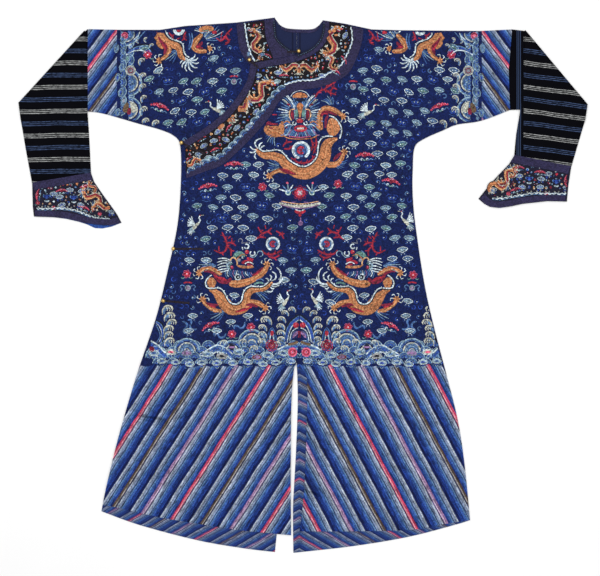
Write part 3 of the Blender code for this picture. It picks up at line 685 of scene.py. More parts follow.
def finishMesh(name, bm, materials, node=None, sharp=0.7):
    bmesh.ops.recalc_face_normals(bm, faces=bm.faces[:])
    for face in bm.faces:
        face.smooth = True
    for edge in bm.edges:
        edge.smooth = edge.calc_face_angle(0.0) < sharp
    mesh = bpy.data.meshes.new(name)
    bm.to_mesh(mesh)
    bm.free()
    for layer in ("inner", "outer", "foot"):
        if layer in mesh.attributes:
            mesh.attributes.remove(mesh.attributes[layer])
    for material in materials:
        mesh.materials.append(material)
    body = bpy.data.objects.new(name, mesh)
    bpy.context.scene.collection.objects.link(body)
    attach(body, "root")
    if node:
        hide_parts(node)
    return body


# gives the sheet its wall, the reverse its own cloth and the rim a soft edge
def thicken(bm, reverseSlot, soft=0.3):
    bmesh.ops.dissolve_degenerate(bm, dist=1e-6, edges=bm.edges[:])
    innerLayer = bm.verts.layers.float_vector["inner"]
    outerLayer = bm.verts.layers.float_vector["outer"]
    area = sum(face.calc_area() for face in bm.faces)
    old = set(bm.verts)
    for face in bm.faces:
        face.material_index = reverseSlot
    made = bmesh.ops.extrude_face_region(bm, geom=bm.faces[:], use_keep_orig=True)["geom"]
    top = set(item for item in made if isinstance(item, bmesh.types.BMFace))
    for vert in bm.verts:
        vert.co = vert[innerLayer] if vert in old else vert[outerLayer]
    for face in bm.faces:
        if face in top or not all(v in old for v in face.verts):
            face.material_index = 0
    if soft:
        bmesh.ops.recalc_face_normals(bm, faces=bm.faces[:])
        rims = [f for f in bm.faces if f not in top and not all(v in old for v in f.verts)]
        rimSet = set(rims)
        edges = [e for e in bm.edges if len(e.link_faces) == 2
            and (e.link_faces[0] in rimSet) != (e.link_faces[1] in rimSet)]
        bmesh.ops.bevel(bm, geom=edges, offset=soft * mm, segments=2, profile=0.5, affect="EDGES",
            material=-1, clamp_overlap=True)
    return area


def makePanel(name, outline, under, thick, materials, node, cell=panelCell, foldAt=foldLine,
        back=None, fold=None, soft=0.3, stitched=0.0):
    bm = newCloth()
    sheets = [(outline, 0.0)] + ([(back, -1.0)] if back else [])
    cutSheets(bm, sheets, cell, foldAt)
    if back:
        placeSheet(bm, -1.0, foldAt, lambda x, y: thick, lambda x, y: stitched * ease((foldAt(x) - y) / 8.0))
    placeSheet(bm, 0.0, foldAt, under, lambda x, y: under(x, y) + thick)
    if fold:
        rollEdge(bm, fold["isFold"], fold["outward"], fold["inner"], thick)
    area = thicken(bm, 1 if len(materials) > 1 else 0, soft)
    body = finishMesh(name, bm, materials, node)
    return body, area


def onShoulder(low, high):
    return lambda x, y: abs(y - foldLine(x)) < 0.02 and low - 0.1 < x < high + 0.1


def makeRightHalf():
    top = shoulderPoints(-559.0, -73.0)
    side = smoothLine(rightSide)
    flap = [(x, flapHem(x)) for x in (-499, -385, -268, -52)]
    front = top[:-1] + onFold(smoothLine(rightNeck)) + flap[::-1] + [p for p in side if p[1] > -496.0][::-1]
    neck = [p for p in smoothLine(backNeck, 6.0) if p[0] < middle - 0.2]
    back = top[:-1] + onFold(neck) + [(middle - 0.15, 664.8)] + rightBackVent[::-1]
    back += smoothLine(rightBackHem)[::-1][1:] + side[::-1][1:]
    fold = {"isFold": onShoulder(-559.0, -73.0), "outward": (0, 1), "inner": foldInner}
    return makePanel("rightHalfCloth", front, rightFrontUnder, wall, [silk, reverse], "right_half",
        back=back, fold=fold, stitched=0.45)


def makeLeftHalf():
    top = shoulderPoints(51.0, 543.0)
    side = smoothLine(leftSide)
    front = onFold(smoothLine(leftNeck)[::-1]) + top[1:] + [(534, 556)] + side
    front += smoothLine(leftFrontHem)[1:] + smoothLine(leftFrontVent)[1:]
    neck = [p for p in smoothLine(backNeck, 6.0) if p[0] > middle + 0.2]
    back = [(middle + 0.15, 664.8)] + onFold(neck) + top[1:] + [(534, 556)] + side
    back += smoothLine(leftBackHem)[1:] + smoothLine(leftBackVent)[1:]
    fold = {"isFold": onShoulder(51.0, 543.0), "outward": (0, 1), "inner": foldInner}
    return makePanel("leftHalfCloth", front, leftFrontUnder, wall, [silk, reverse], "left_half",
        back=back, fold=fold, stitched=0.45)


def makeOverlap():
    side = [p for p in smoothLine(rightSide) if 365.0 > p[1] > -566.0]
    outline = smoothLine(overlapEdge) + smoothLine(overlapSlope)[1:] + side + smoothLine(overlapHem)
    outline += smoothLine(overlapVent)[1:] + [(middle - 0.15, -200)]
    return makePanel("overlapCloth", outline, overlapUnder, wall, [silk, reverse], "front_overlap")


tubeWall, tubeInner = 2.7, 0.15
rightTube = {"fold": ((-566, 659), (-738, 471)), "outward": (-0.738, 0.675), "ramp": (438, 404),
    "lower": [(-559.3, 665), (-559.3, 451), (-650, 458), (-737, 466)],
    "upper": [(-738, 467), (-733, 429), (-720, 351), (-704, 264.6), (-551, 290.5), (-556, 390), (-560, 452),
    (-562, 585)]}
leftTube = {"fold": ((576, 660), (738, 467)), "outward": (0.766, 0.643), "ramp": (440, 406),
    "lower": [(543.4, 664), (534.4, 556), (538.4, 455), (640, 458), (737, 462)],
    "upper": [(738, 463), (733, 429), (710, 351), (697, 306.5), (549, 336.5), (554, 390), (564, 452),
    (568, 500), (572, 573), (576, 609)]}


def makeTube(name, tube, material, node, folds):
    (x0, y0), (x1, y1) = tube["fold"]
    length = math.hypot(x1 - x0, y1 - y0)
    high, low = tube["ramp"]

    def isFold(x, y):
        off = abs((x - x0) * (y1 - y0) - (y - y0) * (x1 - x0)) / length
        along = ((x - x0) * (x1 - x0) + (y - y0) * (y1 - y0)) / length
        return off < 0.02 and -0.1 < along < length + 0.1

    def flat(x, y):
        rise = 3.0 * ease((y - low) / (high - low))
        for (fx0, fy0), (fx1, fy1), wide, lift in folds:
            dx, dy = fx1 - fx0, fy1 - fy0
            along = min(max(((x - fx0) * dx + (y - fy0) * dy) / (dx * dx + dy * dy), 0.0), 1.0)
            off = math.hypot(x - fx0 - along * dx, y - fy0 - along * dy) / wide
            rise += lift * math.exp(-off * off) if not isFold(x, y) else 0.0
        return rise

    fold = {"isFold": isFold, "outward": tube["outward"], "inner": tubeInner}
    return makePanel(name, [(x0, y0), (x1, y1)] + tube["upper"], flat, tubeWall, [material], node,
        foldAt=lambda x: 0.0, back=tube["lower"] + [(x1, y1), (x0, y0)], fold=fold, soft=0.9)


rightCuff = {"edge": [(-702, 263.7), (-700.5, 205), (-697.5, 178)], "outward": (-1.0, 0.0),
    "front": [(-647, 176), (-615, 173), (-581, 165), (-562, 160.5), (-541, 157.5), (-521, 156), (-497, 155),
    (-472, 162)], "back": [(-647, 176), (-615, 172), (-581, 164), (-560, 157), (-541, 148), (-521, 147),
    (-497, 152), (-472, 162)], "slant": [(-483, 183), (-500, 207), (-521, 236), (-543, 268), (-550.5, 289.7)],
    "inside": [(-697, 194), (-647, 192), (-612, 189), (-577, 181), (-558, 176.5), (-541, 173.5), (-522, 172),
    (-502, 171), (-483, 176)]}
leftCuff = {"edge": [(695, 305.4), (688, 260), (684, 217)], "outward": (1.0, 0.0),
    "front": [(635, 218), (608, 215), (571, 211), (543, 205), (511, 200.5), (487, 203), (471, 211),
    (456, 224)], "back": [(635, 218), (608, 215), (571, 211), (543, 205), (511, 200), (487, 203), (471, 211),
    (456, 224)], "slant": [(471, 243), (495, 272), (513, 291), (536, 315), (548.5, 335.6)],
    "inside": [(683, 233), (635, 234), (606, 231), (568, 227), (541, 221), (512, 217), (492, 219), (481, 226),
    (471, 238)]}


def cuffUnder(cuff):
    tip = cuff["front"][-1]

    def height(x, y):
        closed = math.hypot(x - tip[0], y - tip[1]) / 70.0
        edge = min(abs(x - p[0]) for p in cuff["edge"]) / 40.0
        return wall + gap + 0.9 * (1.0 - ease(edge)) + 0.9 * ease(closed) * ease(edge)

    return onGrid(height, 34.0, lambda x: 0.0)


def makeCuff(name, cuff, node):
    under = cuffUnder(cuff)

    def isFold(x, y):
        for (x0, y0), (x1, y1) in zip(cuff["edge"], cuff["edge"][1:]):
            off = abs((x - x0) * (y1 - y0) - (y - y0) * (x1 - x0)) / math.hypot(x1 - x0, y1 - y0)
            if off < 0.02 and min(y0, y1) - 0.1 < y < max(y0, y1) + 0.1:
                return True
        return False

    def front(x, y):
        return wall + 2.0 * foldInner if isFold(x, y) else under(x, y)

    fold = {"isFold": isFold, "outward": cuff["outward"], "inner": foldInner}
    return makePanel(name, cuff["edge"] + cuff["front"] + cuff["slant"], front, wall, [cuffCloth, liningBlue],
        node, cell=8.5, foldAt=lambda x: 0.0, back=cuff["edge"] + cuff["back"] + cuff["slant"],
        fold=fold)


def makeStrip(name, first, second, top, material, node, cell=panelCell, foldAt=foldLine, thick=1.0):
    outline = list(first) + list(second)[::-1]
    strip, area = makePanel(name, outline, lambda x, y: top(x, y) + gap, thick, [material], node,
        cell, foldAt, soft=0.25)
    length = max(sum(math.dist(a, b) for a, b in zip(line, line[1:])) for line in (first, second)) * mm
    print(name, "cut", round(area / length, 4), round(length, 3))
    return strip


def shifted(points, amount):
    moved = []
    for k, (x, y) in enumerate(points):
        x0, y0 = points[max(k - 1, 0)]
        x1, y1 = points[min(k + 1, len(points) - 1)]
        length = math.hypot(x1 - x0, y1 - y0)
        moved.append((x - (y1 - y0) / length * amount, y + (x1 - x0) / length * amount))
    return moved


def makeTrims():
    neckIn = onFold(smoothLine(leftNeckInner))
    makeStrip("neckBindingLeft", onFold(smoothLine(leftNeck)), neckIn, frontTop, braidCloth,
        "neck_binding_left")
    edge = smoothLine(overlapEdge) + smoothLine(overlapSlope)[1:]
    inner = smoothLine(braidInner) + smoothLine(braidInnerSlope)[1:]
    makeStrip("edgeBraid", edge, inner, frontTop, braidCloth, "edge_braid")
    wave, outer = onFold(smoothLine(waveLine)), onFold(smoothLine(outerLine))
    bandIn = neckIn[:-1] + [(middle, 580)] + inner[1:]
    makeStrip("neckBandLeft", onFold(shifted(bandIn, 0.4)), wave, frontTop, bandCloth, "neck_band_left")
    makeStrip("outerBraidLeft", onFold(shifted(wave, 0.4)), outer, frontTop, braidCloth, "outer_braid_left")
    neck = onFold(smoothLine(rightNeck))[:-1] + [(-22, 602), (-22, 596.8)]
    edging, rWave, rBraid = (onFold(smoothLine(line)) for line in (rightEdging, rightWave, rightBraid))
    makeStrip("neckBindingRight", neck, edging, rightFrontTop, braidCloth, "neck_binding_right")
    makeStrip("neckBandRight", [(x - 0.4, y) for x, y in edging], rWave, rightFrontTop, bandCloth,
        "neck_band_right")
    makeStrip("outerBraidRight", [(x - 0.4, y) for x, y in rWave], rBraid, rightFrontTop, braidCloth,
        "outer_braid_right")
    line = smoothLine(backNeck[2:-1], 6.0)
    makeStrip("neckBindingBack", line, [(x * 0.97, y - 9.0) for x, y in line], lambda x, y: wall, braidCloth,
        "neck_binding_back")


def makeCuffTrims():
    right, left = cuffUnder(rightCuff), cuffUnder(leftCuff)
    zero = lambda x: 0.0
    onRight = lambda x, y: right(x, y) + wall
    onLeft = lambda x, y: left(x, y) + wall
    makeStrip("rightCuffBand", smoothLine([(-703.4, 266.4), (-626, 279), (-551.4, 292)]),
        smoothLine([(-698, 247), (-625, 259.5), (-546, 273)]), onRight, braidCloth, "right_cuff_band",
        8.5, zero)
    makeStrip("leftCuffBand", smoothLine([(696.4, 308.4), (621, 323.4), (549.6, 338)]),
        smoothLine([(688, 288.5), (616, 303.5), (539, 319)]), onLeft, braidCloth, "left_cuff_band",
        8.5, zero)
    mouth = [(-695, 178.4)] + [(x, y + 0.4) for x, y in rightCuff["front"][:-1]] + [(-474, 163)]
    inner = [(-696, 194), (-647, 192), (-612, 189), (-577, 181), (-558, 176.5), (-541, 173.5), (-522, 172),
        (-502, 171), (-483, 176)]
    makeStrip("rightCuffBinding", smoothLine(mouth), smoothLine(inner), onRight, braidCloth,
        "right_cuff_binding", 8.5, zero)
    mouth = [(681, 217.6)] + [(x, y + 0.4) for x, y in leftCuff["front"][:-1]] + [(459, 224)]
    inner = [(682, 233), (635, 234), (606, 231), (568, 227), (541, 221), (512, 217), (492, 219), (481, 226),
        (471, 238)]
    makeStrip("leftCuffBinding", smoothLine(mouth), smoothLine(inner), onLeft, braidCloth,
        "left_cuff_binding", 8.5, zero)


rightHalf, rightArea = makeRightHalf()
leftHalf, leftArea = makeLeftHalf()
overlap, overlapArea = makeOverlap()
rightSleeve, rightSleeveArea = makeTube("rightSleeveCloth", rightTube, rightBlack, "right_extension", [])
leftSleeve, leftSleeveArea = makeTube("leftSleeveCloth", leftTube, leftBlack, "left_extension", [])
rightHoof, rightHoofArea = makeCuff("rightCuffCloth", rightCuff, "right_cuff")
leftHoof, leftHoofArea = makeCuff("leftCuffCloth", leftCuff, "left_cuff")

# the cut of each cloth: width and length in metres, and how it lies
cuts = [(rightHalf, (0.545, 2.66), rightArea, "folded", []), (leftHalf, (0.565, 2.76), leftArea, "folded",
    []), (overlap, (0.505, 1.255), overlapArea, "laid", [rightHalf, leftHalf]),
    (rightSleeve, (0.36, 0.58), rightSleeveArea, "folded", []), (leftSleeve, (0.37, 0.56), leftSleeveArea,
    "folded", []), (rightHoof, (0.45, 0.14), rightHoofArea, "folded", []),
    (leftHoof, (0.45, 0.14), leftHoofArea, "folded", [])]
for piece, cut, area, held, under in cuts:
    print("cloth", piece.name, cut, round(area, 4), round(area / cut[0] / cut[1], 3),
        len(piece.data.polygons))
    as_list(under)
makeTrims()
makeCuffTrims()
print("cloth ready")


# needlework: strokes of thread laid on the cloth
thread = {"gold": tint(172, 112, 74), "goldLight": tint(204, 160, 116), "orange": tint(158, 84, 46),
    "red": tint(160, 38, 56), "crimson": tint(112, 26, 52), "pink": tint(206, 92, 120),
    "pale": tint(122, 148, 162), "white": tint(190, 204, 210), "cream": tint(178, 180, 168),
    "mid": tint(54, 88, 146), "bright": tint(34, 64, 150), "sky": tint(80, 114, 158),
    "green": tint(92, 130, 124), "mauve": tint(132, 98, 142), "brown": tint(98, 78, 60),
    "ink": tint(10, 14, 36), "grey": tint(122, 124, 136), "navy": tint(16, 28, 76),
    "beard": tint(72, 108, 152), "mist": tint(132, 160, 178), "haze": tint(76, 102, 132),
    "flesh": tint(206, 142, 122)}


def threadMaterial(name, rough, metal, couched):
    material, nodes, shader = newMaterial(name, rough, 0.04, metal, 0.12, (1, 1, 1, 1))
    dye = nodes.add("ShaderNodeAttribute", attribute_name="dye")
    lay = nodes.add("ShaderNodeAttribute", attribute_name="stitch")
    place, x, y = millimetres(nodes)
    split = nodes.add("ShaderNodeSeparateXYZ")
    nodes.join(lay.outputs["Vector"], split.inputs[0])
    along, across = split.outputs[0], split.outputs[1]
    fray = nodes.noise(lay.outputs["Vector"], 1.3, 3.0, 0.7)
    grain = useGroup(nodes, "stitchGrain", place=place, colour=dye.outputs["Color"],
        contrast=1.25 if couched else 0.95, size=4.3 if couched else 3.3)
    colour = grain[0]
    if couched:
        # gilt thread in pairs, tied down by silk of other shades
        colour = nodes.mix(nodes.math("LESS_THAN", grain[2], 0.2), colour, tint(122, 76, 90))
        colour = nodes.mix(nodes.math("GREATER_THAN", grain[2], 0.78), colour, tint(226, 192, 160))
    lines = nodes.math("SINE", nodes.math("ADD", nodes.math("MULTIPLY", across if couched else along,
        6.5 if couched else 8.5), nodes.math("MULTIPLY", fray, 2.5)))
    shade = nodes.math("ADD", nodes.math("MULTIPLY", lines, 0.1), nodes.math("MULTIPLY_ADD", fray, 0.5, 0.78))
    bright = nodes.add("ShaderNodeVectorMath", operation="SCALE")
    nodes.join(colour, bright.inputs[0])
    nodes.join(shade, bright.inputs["Scale"])
    bump = nodes.add("ShaderNodeBump")
    bump.inputs["Strength"].default_value = 0.6
    bump.inputs["Distance"].default_value = 0.0003
    nodes.join(nodes.math("ADD", shade, grain[1]), bump.inputs["Height"])
    nodes.join(bright.outputs[0], shader.inputs["Base Color"])
    nodes.join(bump.outputs[0], shader.inputs["Normal"])
    return material


silkThread = threadMaterial("silkThread", 0.5, 0.0, False)
goldThread = threadMaterial("goldThread", 0.45, 0.15, True)


def gridOf(height, cell, foldAt):
    low, high = -75, 75
    nodes = np.array([[height(middle + i * cell, j * cell + foldAt(middle + i * cell)) for j in range(-145,
        2)] for i in range(low, high + 1)])
    folds = np.array([foldAt(middle + i * cell) for i in range(low, high + 1)])

    def many(xs, ys):
        a = np.clip((xs - middle) / cell, low, high - 0.001)
        column = np.floor(a).astype(int)
        share = a - column
        fold = folds[column - low] * (1 - share) + folds[column - low + 1] * share
        b = np.clip((ys - fold) / cell, -145, 0.999)
        row = np.floor(b).astype(int)
        up = b - row
        i, j = column - low, row + 145
        return ((nodes[i, j] * (1 - share) + nodes[i + 1, j] * share) * (1 - up) + (nodes[i,
            j + 1] * (1 - share) + nodes[i + 1, j + 1] * share) * up)

    return many


overlapMany = gridOf(overlapHeight, panelCell, foldLine)
leftMany = gridOf(leftFrontHeight, panelCell, foldLine)
rightMany = gridOf(rightFrontHeight, panelCell, foldLine)


def onFront(xs, ys):
    return np.where(xs < middle, overlapMany(xs, ys), leftMany(xs, ys)) + wall


def onBand(xs, ys):
    return onFront(xs, ys) + gap + 1.0


def onRightBand(xs, ys):
    return rightMany(xs, ys) + wall + gap + 1.0


def onCuff(cuff):
    under = cuffUnder(cuff)
    return lambda xs, ys: np.array([under(x, y) for x, y in zip(xs, ys)]) + wall


frontOutline = shoulderPoints(-559.0,
    543.0) + [(534, 556)] + smoothLine(leftSide) + leftFrontHem[1:] + leftFrontVent[1:-1]
frontOutline += [(middle, -210)] + overlapVent[::-1] + overlapHem[::-1] + [p for p in smoothLine(rightSide)
    if p[1] > -566.0][::-1]
trimOutline = [(-24, 612), (-20, 640), (20, 690)] + onFold(smoothLine([(163, 665), (159, 632), (146, 592),
    (122, 545), (80, 519), (38, 506), (-9, 499), (-45, 486)]))
trimOutline += [(x + 3, y - 6) for x, y in outerLine if x < -62] + [p
    for p in smoothLine(overlapSlope)[::-1]] + [(-110, 580)]
rightTrimOutline = onFold(smoothLine([(-180, 679), (-178, 658), (-172, 612), (-158, 588),
    (-142, 570)])) + [(-60, 585), (-24, 600), (-73, 695)]
bandOutline = onFold(smoothLine(leftNeckInner))[:-1] + [(middle,
    580)] + smoothLine(braidInner)[1:] + smoothLine(braidInnerSlope)[1:]
bandOutline += onFold(smoothLine(outerLine))[::-1]
rightBandOutline = onFold(smoothLine(rightEdging)) + onFold(smoothLine(rightBraid))[::-1]


def within(outline, xs, ys):
    # even-odd test of many places against one outline
    result = np.zeros(len(xs), dtype=bool)
    for (x0, y0), (x1, y1) in zip(outline, outline[1:] + outline[:1]):
        if y0 == y1:
            continue
        spans = (ys < y0) != (ys < y1)
        result ^= spans & (xs < x0 + (ys - y0) * (x1 - x0) / (y1 - y0))
    return result


class Covered:
    pitch, low = 2.5, (-790.0, -740.0)

    def __init__(self):
        self.grid = np.zeros((640, 600), dtype=bool)

    def window(self, x, y, reach):
        i0, j0 = int((x - reach - self.low[0]) / self.pitch), int((y - reach - self.low[1]) / self.pitch)
        i1, j1 = int((x + reach - self.low[0]) / self.pitch) + 1, int((y + reach - self.low[1])
            / self.pitch) + 1
        return self.grid[max(i0, 0):i1, max(j0, 0):j1]

    def mark(self, strokes):
        for stroke in strokes:
            for x, y, w in stroke[4]:
                self.window(x, y, w + 0.8)[:] = True


def freeSpots(covered, outline, pitch, reach, margin=4.0):
    # staggered places inside an outline that no stitch covers yet
    xs, ys = [p[0] for p in outline], [p[1] for p in outline]
    spots = []
    for row in range(int((max(ys) - min(ys)) / pitch) + 1):
        for column in range(int((max(xs) - min(xs)) / pitch) + 1):
            spots.append((min(xs) + (column + 0.5 * (row % 2)) * pitch + chance.uniform(-1, 1) * pitch * 0.22,
                min(ys) + row * pitch + chance.uniform(-1, 1) * pitch * 0.22))
    px, py = np.array([p[0] for p in spots]), np.array([p[1] for p in spots])
    keep = np.ones(len(px), dtype=bool)
    for dx, dy in ((margin, 0), (-margin, 0), (0, margin), (0, -margin)):
        keep &= within(outline, px + dx, py + dy)
    kept = []
    for inside, (x, y) in zip(keep, spots):
        if inside and not covered.window(x, y, reach).any():
            covered.window(x, y, reach)[:] = True
            kept.append((x, y))
    return kept


covered = {"front": Covered(), "back": Covered()}


class Needle:
    lifts = (0.04, 0.34, 0.66, 0.95, 1.2, 1.42, 1.6)

    def __init__(self, name, surface, outline=None, back=False):
        self.name, self.surface, self.outline, self.back = name, surface, outline or frontOutline, back
        self.strokes = []
        self.move()

    def move(self, x=0.0, y=0.0, size=1.0, turn=0.0, flip=False, rise=0):
        self.x, self.y, self.size, self.flip, self.rise = x, y, size, flip, rise
        self.cos, self.sin = math.cos(math.radians(turn)), math.sin(math.radians(turn))
        return self

    def sew(self, dye, points, width=1.0, layer=0, closed=False, gold=None, step=2.6, taper=False):
        full = [p if len(p) == 3 else (p[0], p[1], width) for p in points]
        if taper:
            ends = len(full) - 1
            full = [(u, v, w * (0.35 + 0.65 * math.sin(math.pi * (0.12 + 0.76 * k / ends)))) for k,
                (u, v, w) in enumerate(full)]
        if closed:
            full = full + [full[0]]
        line = smoothLine(full, step / self.size) if len(full) > 2 else full
        if closed:
            line = line[:-1]
        else:
            line = self.roundEnds(line)
        placed = []
        for u, v, w in line:
            u = -u if self.flip else u
            placed.append((self.x + self.size * (u * self.cos - v * self.sin),
                self.y + self.size * (u * self.sin + v * self.cos), max(w, 0.0) * self.size))
        gold = dye in ("gold", "goldLight", "orange") if gold is None else gold
        self.strokes.append((dye, gold, layer + self.rise, closed, placed))

    def roundEnds(self, line):
        reach = [0.0]
        for a, b in zip(line, line[1:]):
            reach.append(reach[-1] + math.dist(a[:2], b[:2]))
        total = reach[-1]
        if total < 1e-6:
            return line

        def at(distance):
            distance = min(max(distance, 0.0), total)
            for k in range(1, len(line)):
                if distance <= reach[k] + 1e-9:
                    share = (distance - reach[k - 1]) / max(reach[k] - reach[k - 1], 1e-9)
                    return tuple(a + (b - a) * share for a, b in zip(line[k - 1], line[k]))
            return line[-1]

        first = min(line[0][2] * 0.9, total * 0.4)
        last = min(line[-1][2] * 0.9, total * 0.4)
        stops = [0.0, first * 0.25, first] + [r for r in reach if first * 1.3 < r < total - last
            * 1.3] + [total - last, total - last * 0.25, total]
        shape = [0.0, 0.66, 1.0] + [1.0] * (len(stops) - 6) + [1.0, 0.66, 0.0]
        return [(*at(stop)[:2], at(stop)[2] * grow) for stop, grow in zip(stops, shape)]

    def disc(self, dye, u, v, radius, layer=0, gold=None):
        spans = [-1.0, -0.7, 0.0, 0.7, 1.0] if radius * self.size < 2.6 else [-1.0, -0.92, -0.7, -0.38, 0.0,
            0.38, 0.7, 0.92, 1.0]
        placed = []
        for span in spans:
            a = (-1 if self.flip else 1) * (u + span * radius)
            placed.append((self.x + self.size * (a * self.cos - v * self.sin),
                self.y + self.size * (a * self.sin + v * self.cos),
                self.size * radius * math.sqrt(max(1.0 - span * span, 0.0))))
        gold = dye in ("gold", "goldLight", "orange") if gold is None else gold
        self.strokes.append((dye, gold, layer, False, placed))

    def ring(self, dye, u, v, radius, width=0.7, layer=0, start=0.0, sweep=360.0, squash=1.0):
        size = radius * self.size
        count = max(5, int(abs(sweep) / (42 if size < 4.5 else 32 if size < 9 else 22 if size < 16 else 15))
            + 1)
        points = []
        for k in range(count):
            angle = math.radians(start + sweep * k / (count - (0 if sweep >= 360.0 else 1)))
            points.append((u + radius * math.cos(angle), v + radius * squash * math.sin(angle)))
        self.sew(dye, points, width, layer, closed=sweep >= 360.0, step=99)

    def clip(self, margin=1.8):
        # drops the parts of strokes that would leave the cloth
        xs = np.array([p[0] for stroke in self.strokes for p in stroke[4]])
        ys = np.array([p[1] for stroke in self.strokes for p in stroke[4]])
        keep = np.ones(len(xs), dtype=bool)
        for dx, dy in ((margin, 0), (-margin, 0), (0, -margin), (0, 0.2)):
            keep &= within(self.outline, xs + dx, ys + dy)
        kept, at = [], 0
        for dye, gold, layer, closed, line in self.strokes:
            part = keep[at:at + len(line)]
            at += len(line)
            if part.all():
                kept.append((dye, gold, layer, closed, line))
                continue
            run = []
            for inside, point in list(zip(part, line)) + [(False, None)]:
                if inside:
                    run.append(point)
                    continue
                if len(run) > 2:
                    run[0] = (*run[0][:2], 0.0)
                    run[-1] = (*run[-1][:2], 0.0)
                    kept.append((dye, gold, layer, False, run))
                run = []
        self.strokes = kept

    def finish(self):
        self.clip()
        if self.surface is onFront:
            covered["back" if self.back else "front"].mark(self.strokes)
        data = bpy.data.curves.new(self.name, "CURVE")
        data.dimensions = "3D"
        data.twist_mode = "Z_UP"
        data.fill_mode = "FULL"
        data.bevel_depth = mm
        data.bevel_resolution = 0
        for dye, gold, layer, closed, line in self.strokes:
            spline = data.splines.new("POLY")
            spline.points.add(len(line) - 1)
            spline.points.foreach_set("co", [c for x, y, w in line for c in (x * mm, y * mm, 0.0, 1.0)])
            spline.points.foreach_set("radius", [w for x, y, w in line])
            spline.use_cyclic_u = closed
            spline.use_smooth = True
            spline.material_index = 1 if gold else 0
        cord = bpy.data.objects.new(self.name + "Lines", data)
        bpy.context.scene.collection.objects.link(cord)
        mesh = bpy.data.meshes.new_from_object(cord)
        bpy.data.objects.remove(cord)
        count = len(mesh.vertices)
        if count != 4 * sum(len(stroke[4]) for stroke in self.strokes):
            raise RuntimeError(self.name + " lost stitches")
        place = np.empty(count * 3)
        mesh.vertices.foreach_get("co", place)
        place = place.reshape(-1, 4, 3) / mm
        centre = place.mean(axis=1)
        dyes, stitch, lifts = [], [], []
        for dye, gold, layer, closed, line in self.strokes:
            shade = 1.0 + chance.uniform(-0.07, 0.07)
            dyes += [[c * shade for c in thread[dye][:3]] + [1.0]] * len(line)
            reach = 0.0
            start = chance.uniform(0, 300)
            for k, (x, y, w) in enumerate(line):
                if k:
                    reach += math.dist(line[k - 1][:2], (x, y))
                stitch.append(start + reach)
            lifts += [self.lifts[min(layer, 6)] + chance.uniform(0, 0.03)] * len(line)
        side = place[:, :, :2] - centre[:, None, :2]
        off = np.hypot(side[:, :, 0], side[:, :, 1])
        leftMost = np.argmax(off, axis=1)
        ahead = side[np.arange(len(side)), leftMost]
        sign = np.sign((side * ahead[:, None, :]).sum(axis=2))
        up = place[:, :, 2]
        raised = np.where(up > 0, 0.42 * up * 0.6 / (up * 0.6 + 0.42), -0.03)
        xs, ys = place[:, :, 0].ravel(), place[:, :, 1].ravel()
        if self.back:
            level = 0.42 - 0.22 * np.array(lifts)[:, None] - 0.2 * raised
            place[:, :, 2] = np.maximum(level, 0.02)
        else:
            ys = np.minimum(ys, np.interp(xs, [p[0] for p in shoulder], [p[1] for p in shoulder]) - foldOuter)
            place[:, :, 1] = ys.reshape(-1, 4)
            place[:, :, 2] = self.surface(xs, ys).reshape(-1, 4) + np.array(lifts)[:, None] + raised
        mesh.vertices.foreach_set("co", (place * mm).ravel())
        dye = mesh.attributes.new("dye", "FLOAT_COLOR", "POINT")
        dye.data.foreach_set("color", np.repeat(np.array(dyes), 4, axis=0).ravel())
        lay = mesh.attributes.new("stitch", "FLOAT_VECTOR", "POINT")
        flat = np.zeros((len(place), 4, 3))
        flat[:, :, 0] = np.array(stitch)[:, None]
        flat[:, :, 1] = off * sign
        lay.data.foreach_set("vector", flat.ravel())
        bm = bmesh.new()
        bm.from_mesh(mesh)
        bmesh.ops.remove_doubles(bm, verts=bm.verts[:], dist=2e-6)
        bmesh.ops.recalc_face_normals(bm, faces=bm.faces[:])
        bm.to_mesh(mesh)
        bm.free()
        mesh.set_sharp_from_angle(angle=0.9)
        mesh.materials.clear()
        mesh.materials.append(silkThread)
        mesh.materials.append(goldThread)
        body = bpy.data.objects.new(self.name, mesh)
        bpy.context.scene.collection.objects.link(body)
        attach(body, "root")
        print(self.name, len(mesh.polygons) * 2)
        return body


def turned(u, v, angle, reach):
    return (u + reach * math.cos(math.radians(angle)), v + reach * math.sin(math.radians(angle)))


# small repeated motifs
def cloud(s, kind=0):
    body, edge = (("pale", "mist"), ("pale", "white"), ("green", "mist"), ("haze", "white"))[kind]
    s.sew(body, [(-12, -0.5, 1.5), (-6, 0.2, 5.2), (0, 0.3, 6.8), (6, 0.2, 5.2), (12, -0.5, 1.5)], step=7)
    s.sew(edge, [(-15, 0.5), (-12.5, 4.6), (-7.5, 5.8), (-4.5, 7.8), (4.5, 7.8), (7.5, 5.8), (12.5, 4.6),
        (15, 0.5), (9, -4), (4.5, -5), (0, -8.6), (-4.5, -5), (-9, -4)], 0.95, 1, closed=True, step=7)
    s.sew("mid", [(-10, 0.8), (-6, 3.4), (0, 4.8), (6, 3.4), (10, 0.8)], 0.75, 2, step=8)
    s.sew("navy", [(-7.5, -2), (0, -4.6), (7.5, -2)], 0.8, 2, step=8)
    for side in (-1, 1):
        s.disc("white", side * 3.8, 0.2, 1.45, 2)
    for side in (-1, 1):
        s.ring("mid", side * 6.5, -12.5, 3.6, 0.7, 0, 90 - side * 30, side * 270)
        s.disc("white", side * 4.6, -12, 1.35, 0)


def swirl(s):
    for side in (-1, 1):
        s.ring("bright", side * 6, 0, 5.4, 1.0, 0, 90, side * 300)
        s.ring("mid", side * 6, 0, 2.4, 0.8, 0, 0, side * 250)
        s.disc("white", side * 4.5, 1.0, 1.5, 1)
        s.sew("bright", [(side * 3, 9), (side * 12, 10), (side * 17, 3)], 0.85, step=9)
    s.sew("mid", [(-12, -9), (0, -12), (12, -9)], 0.75, step=9)


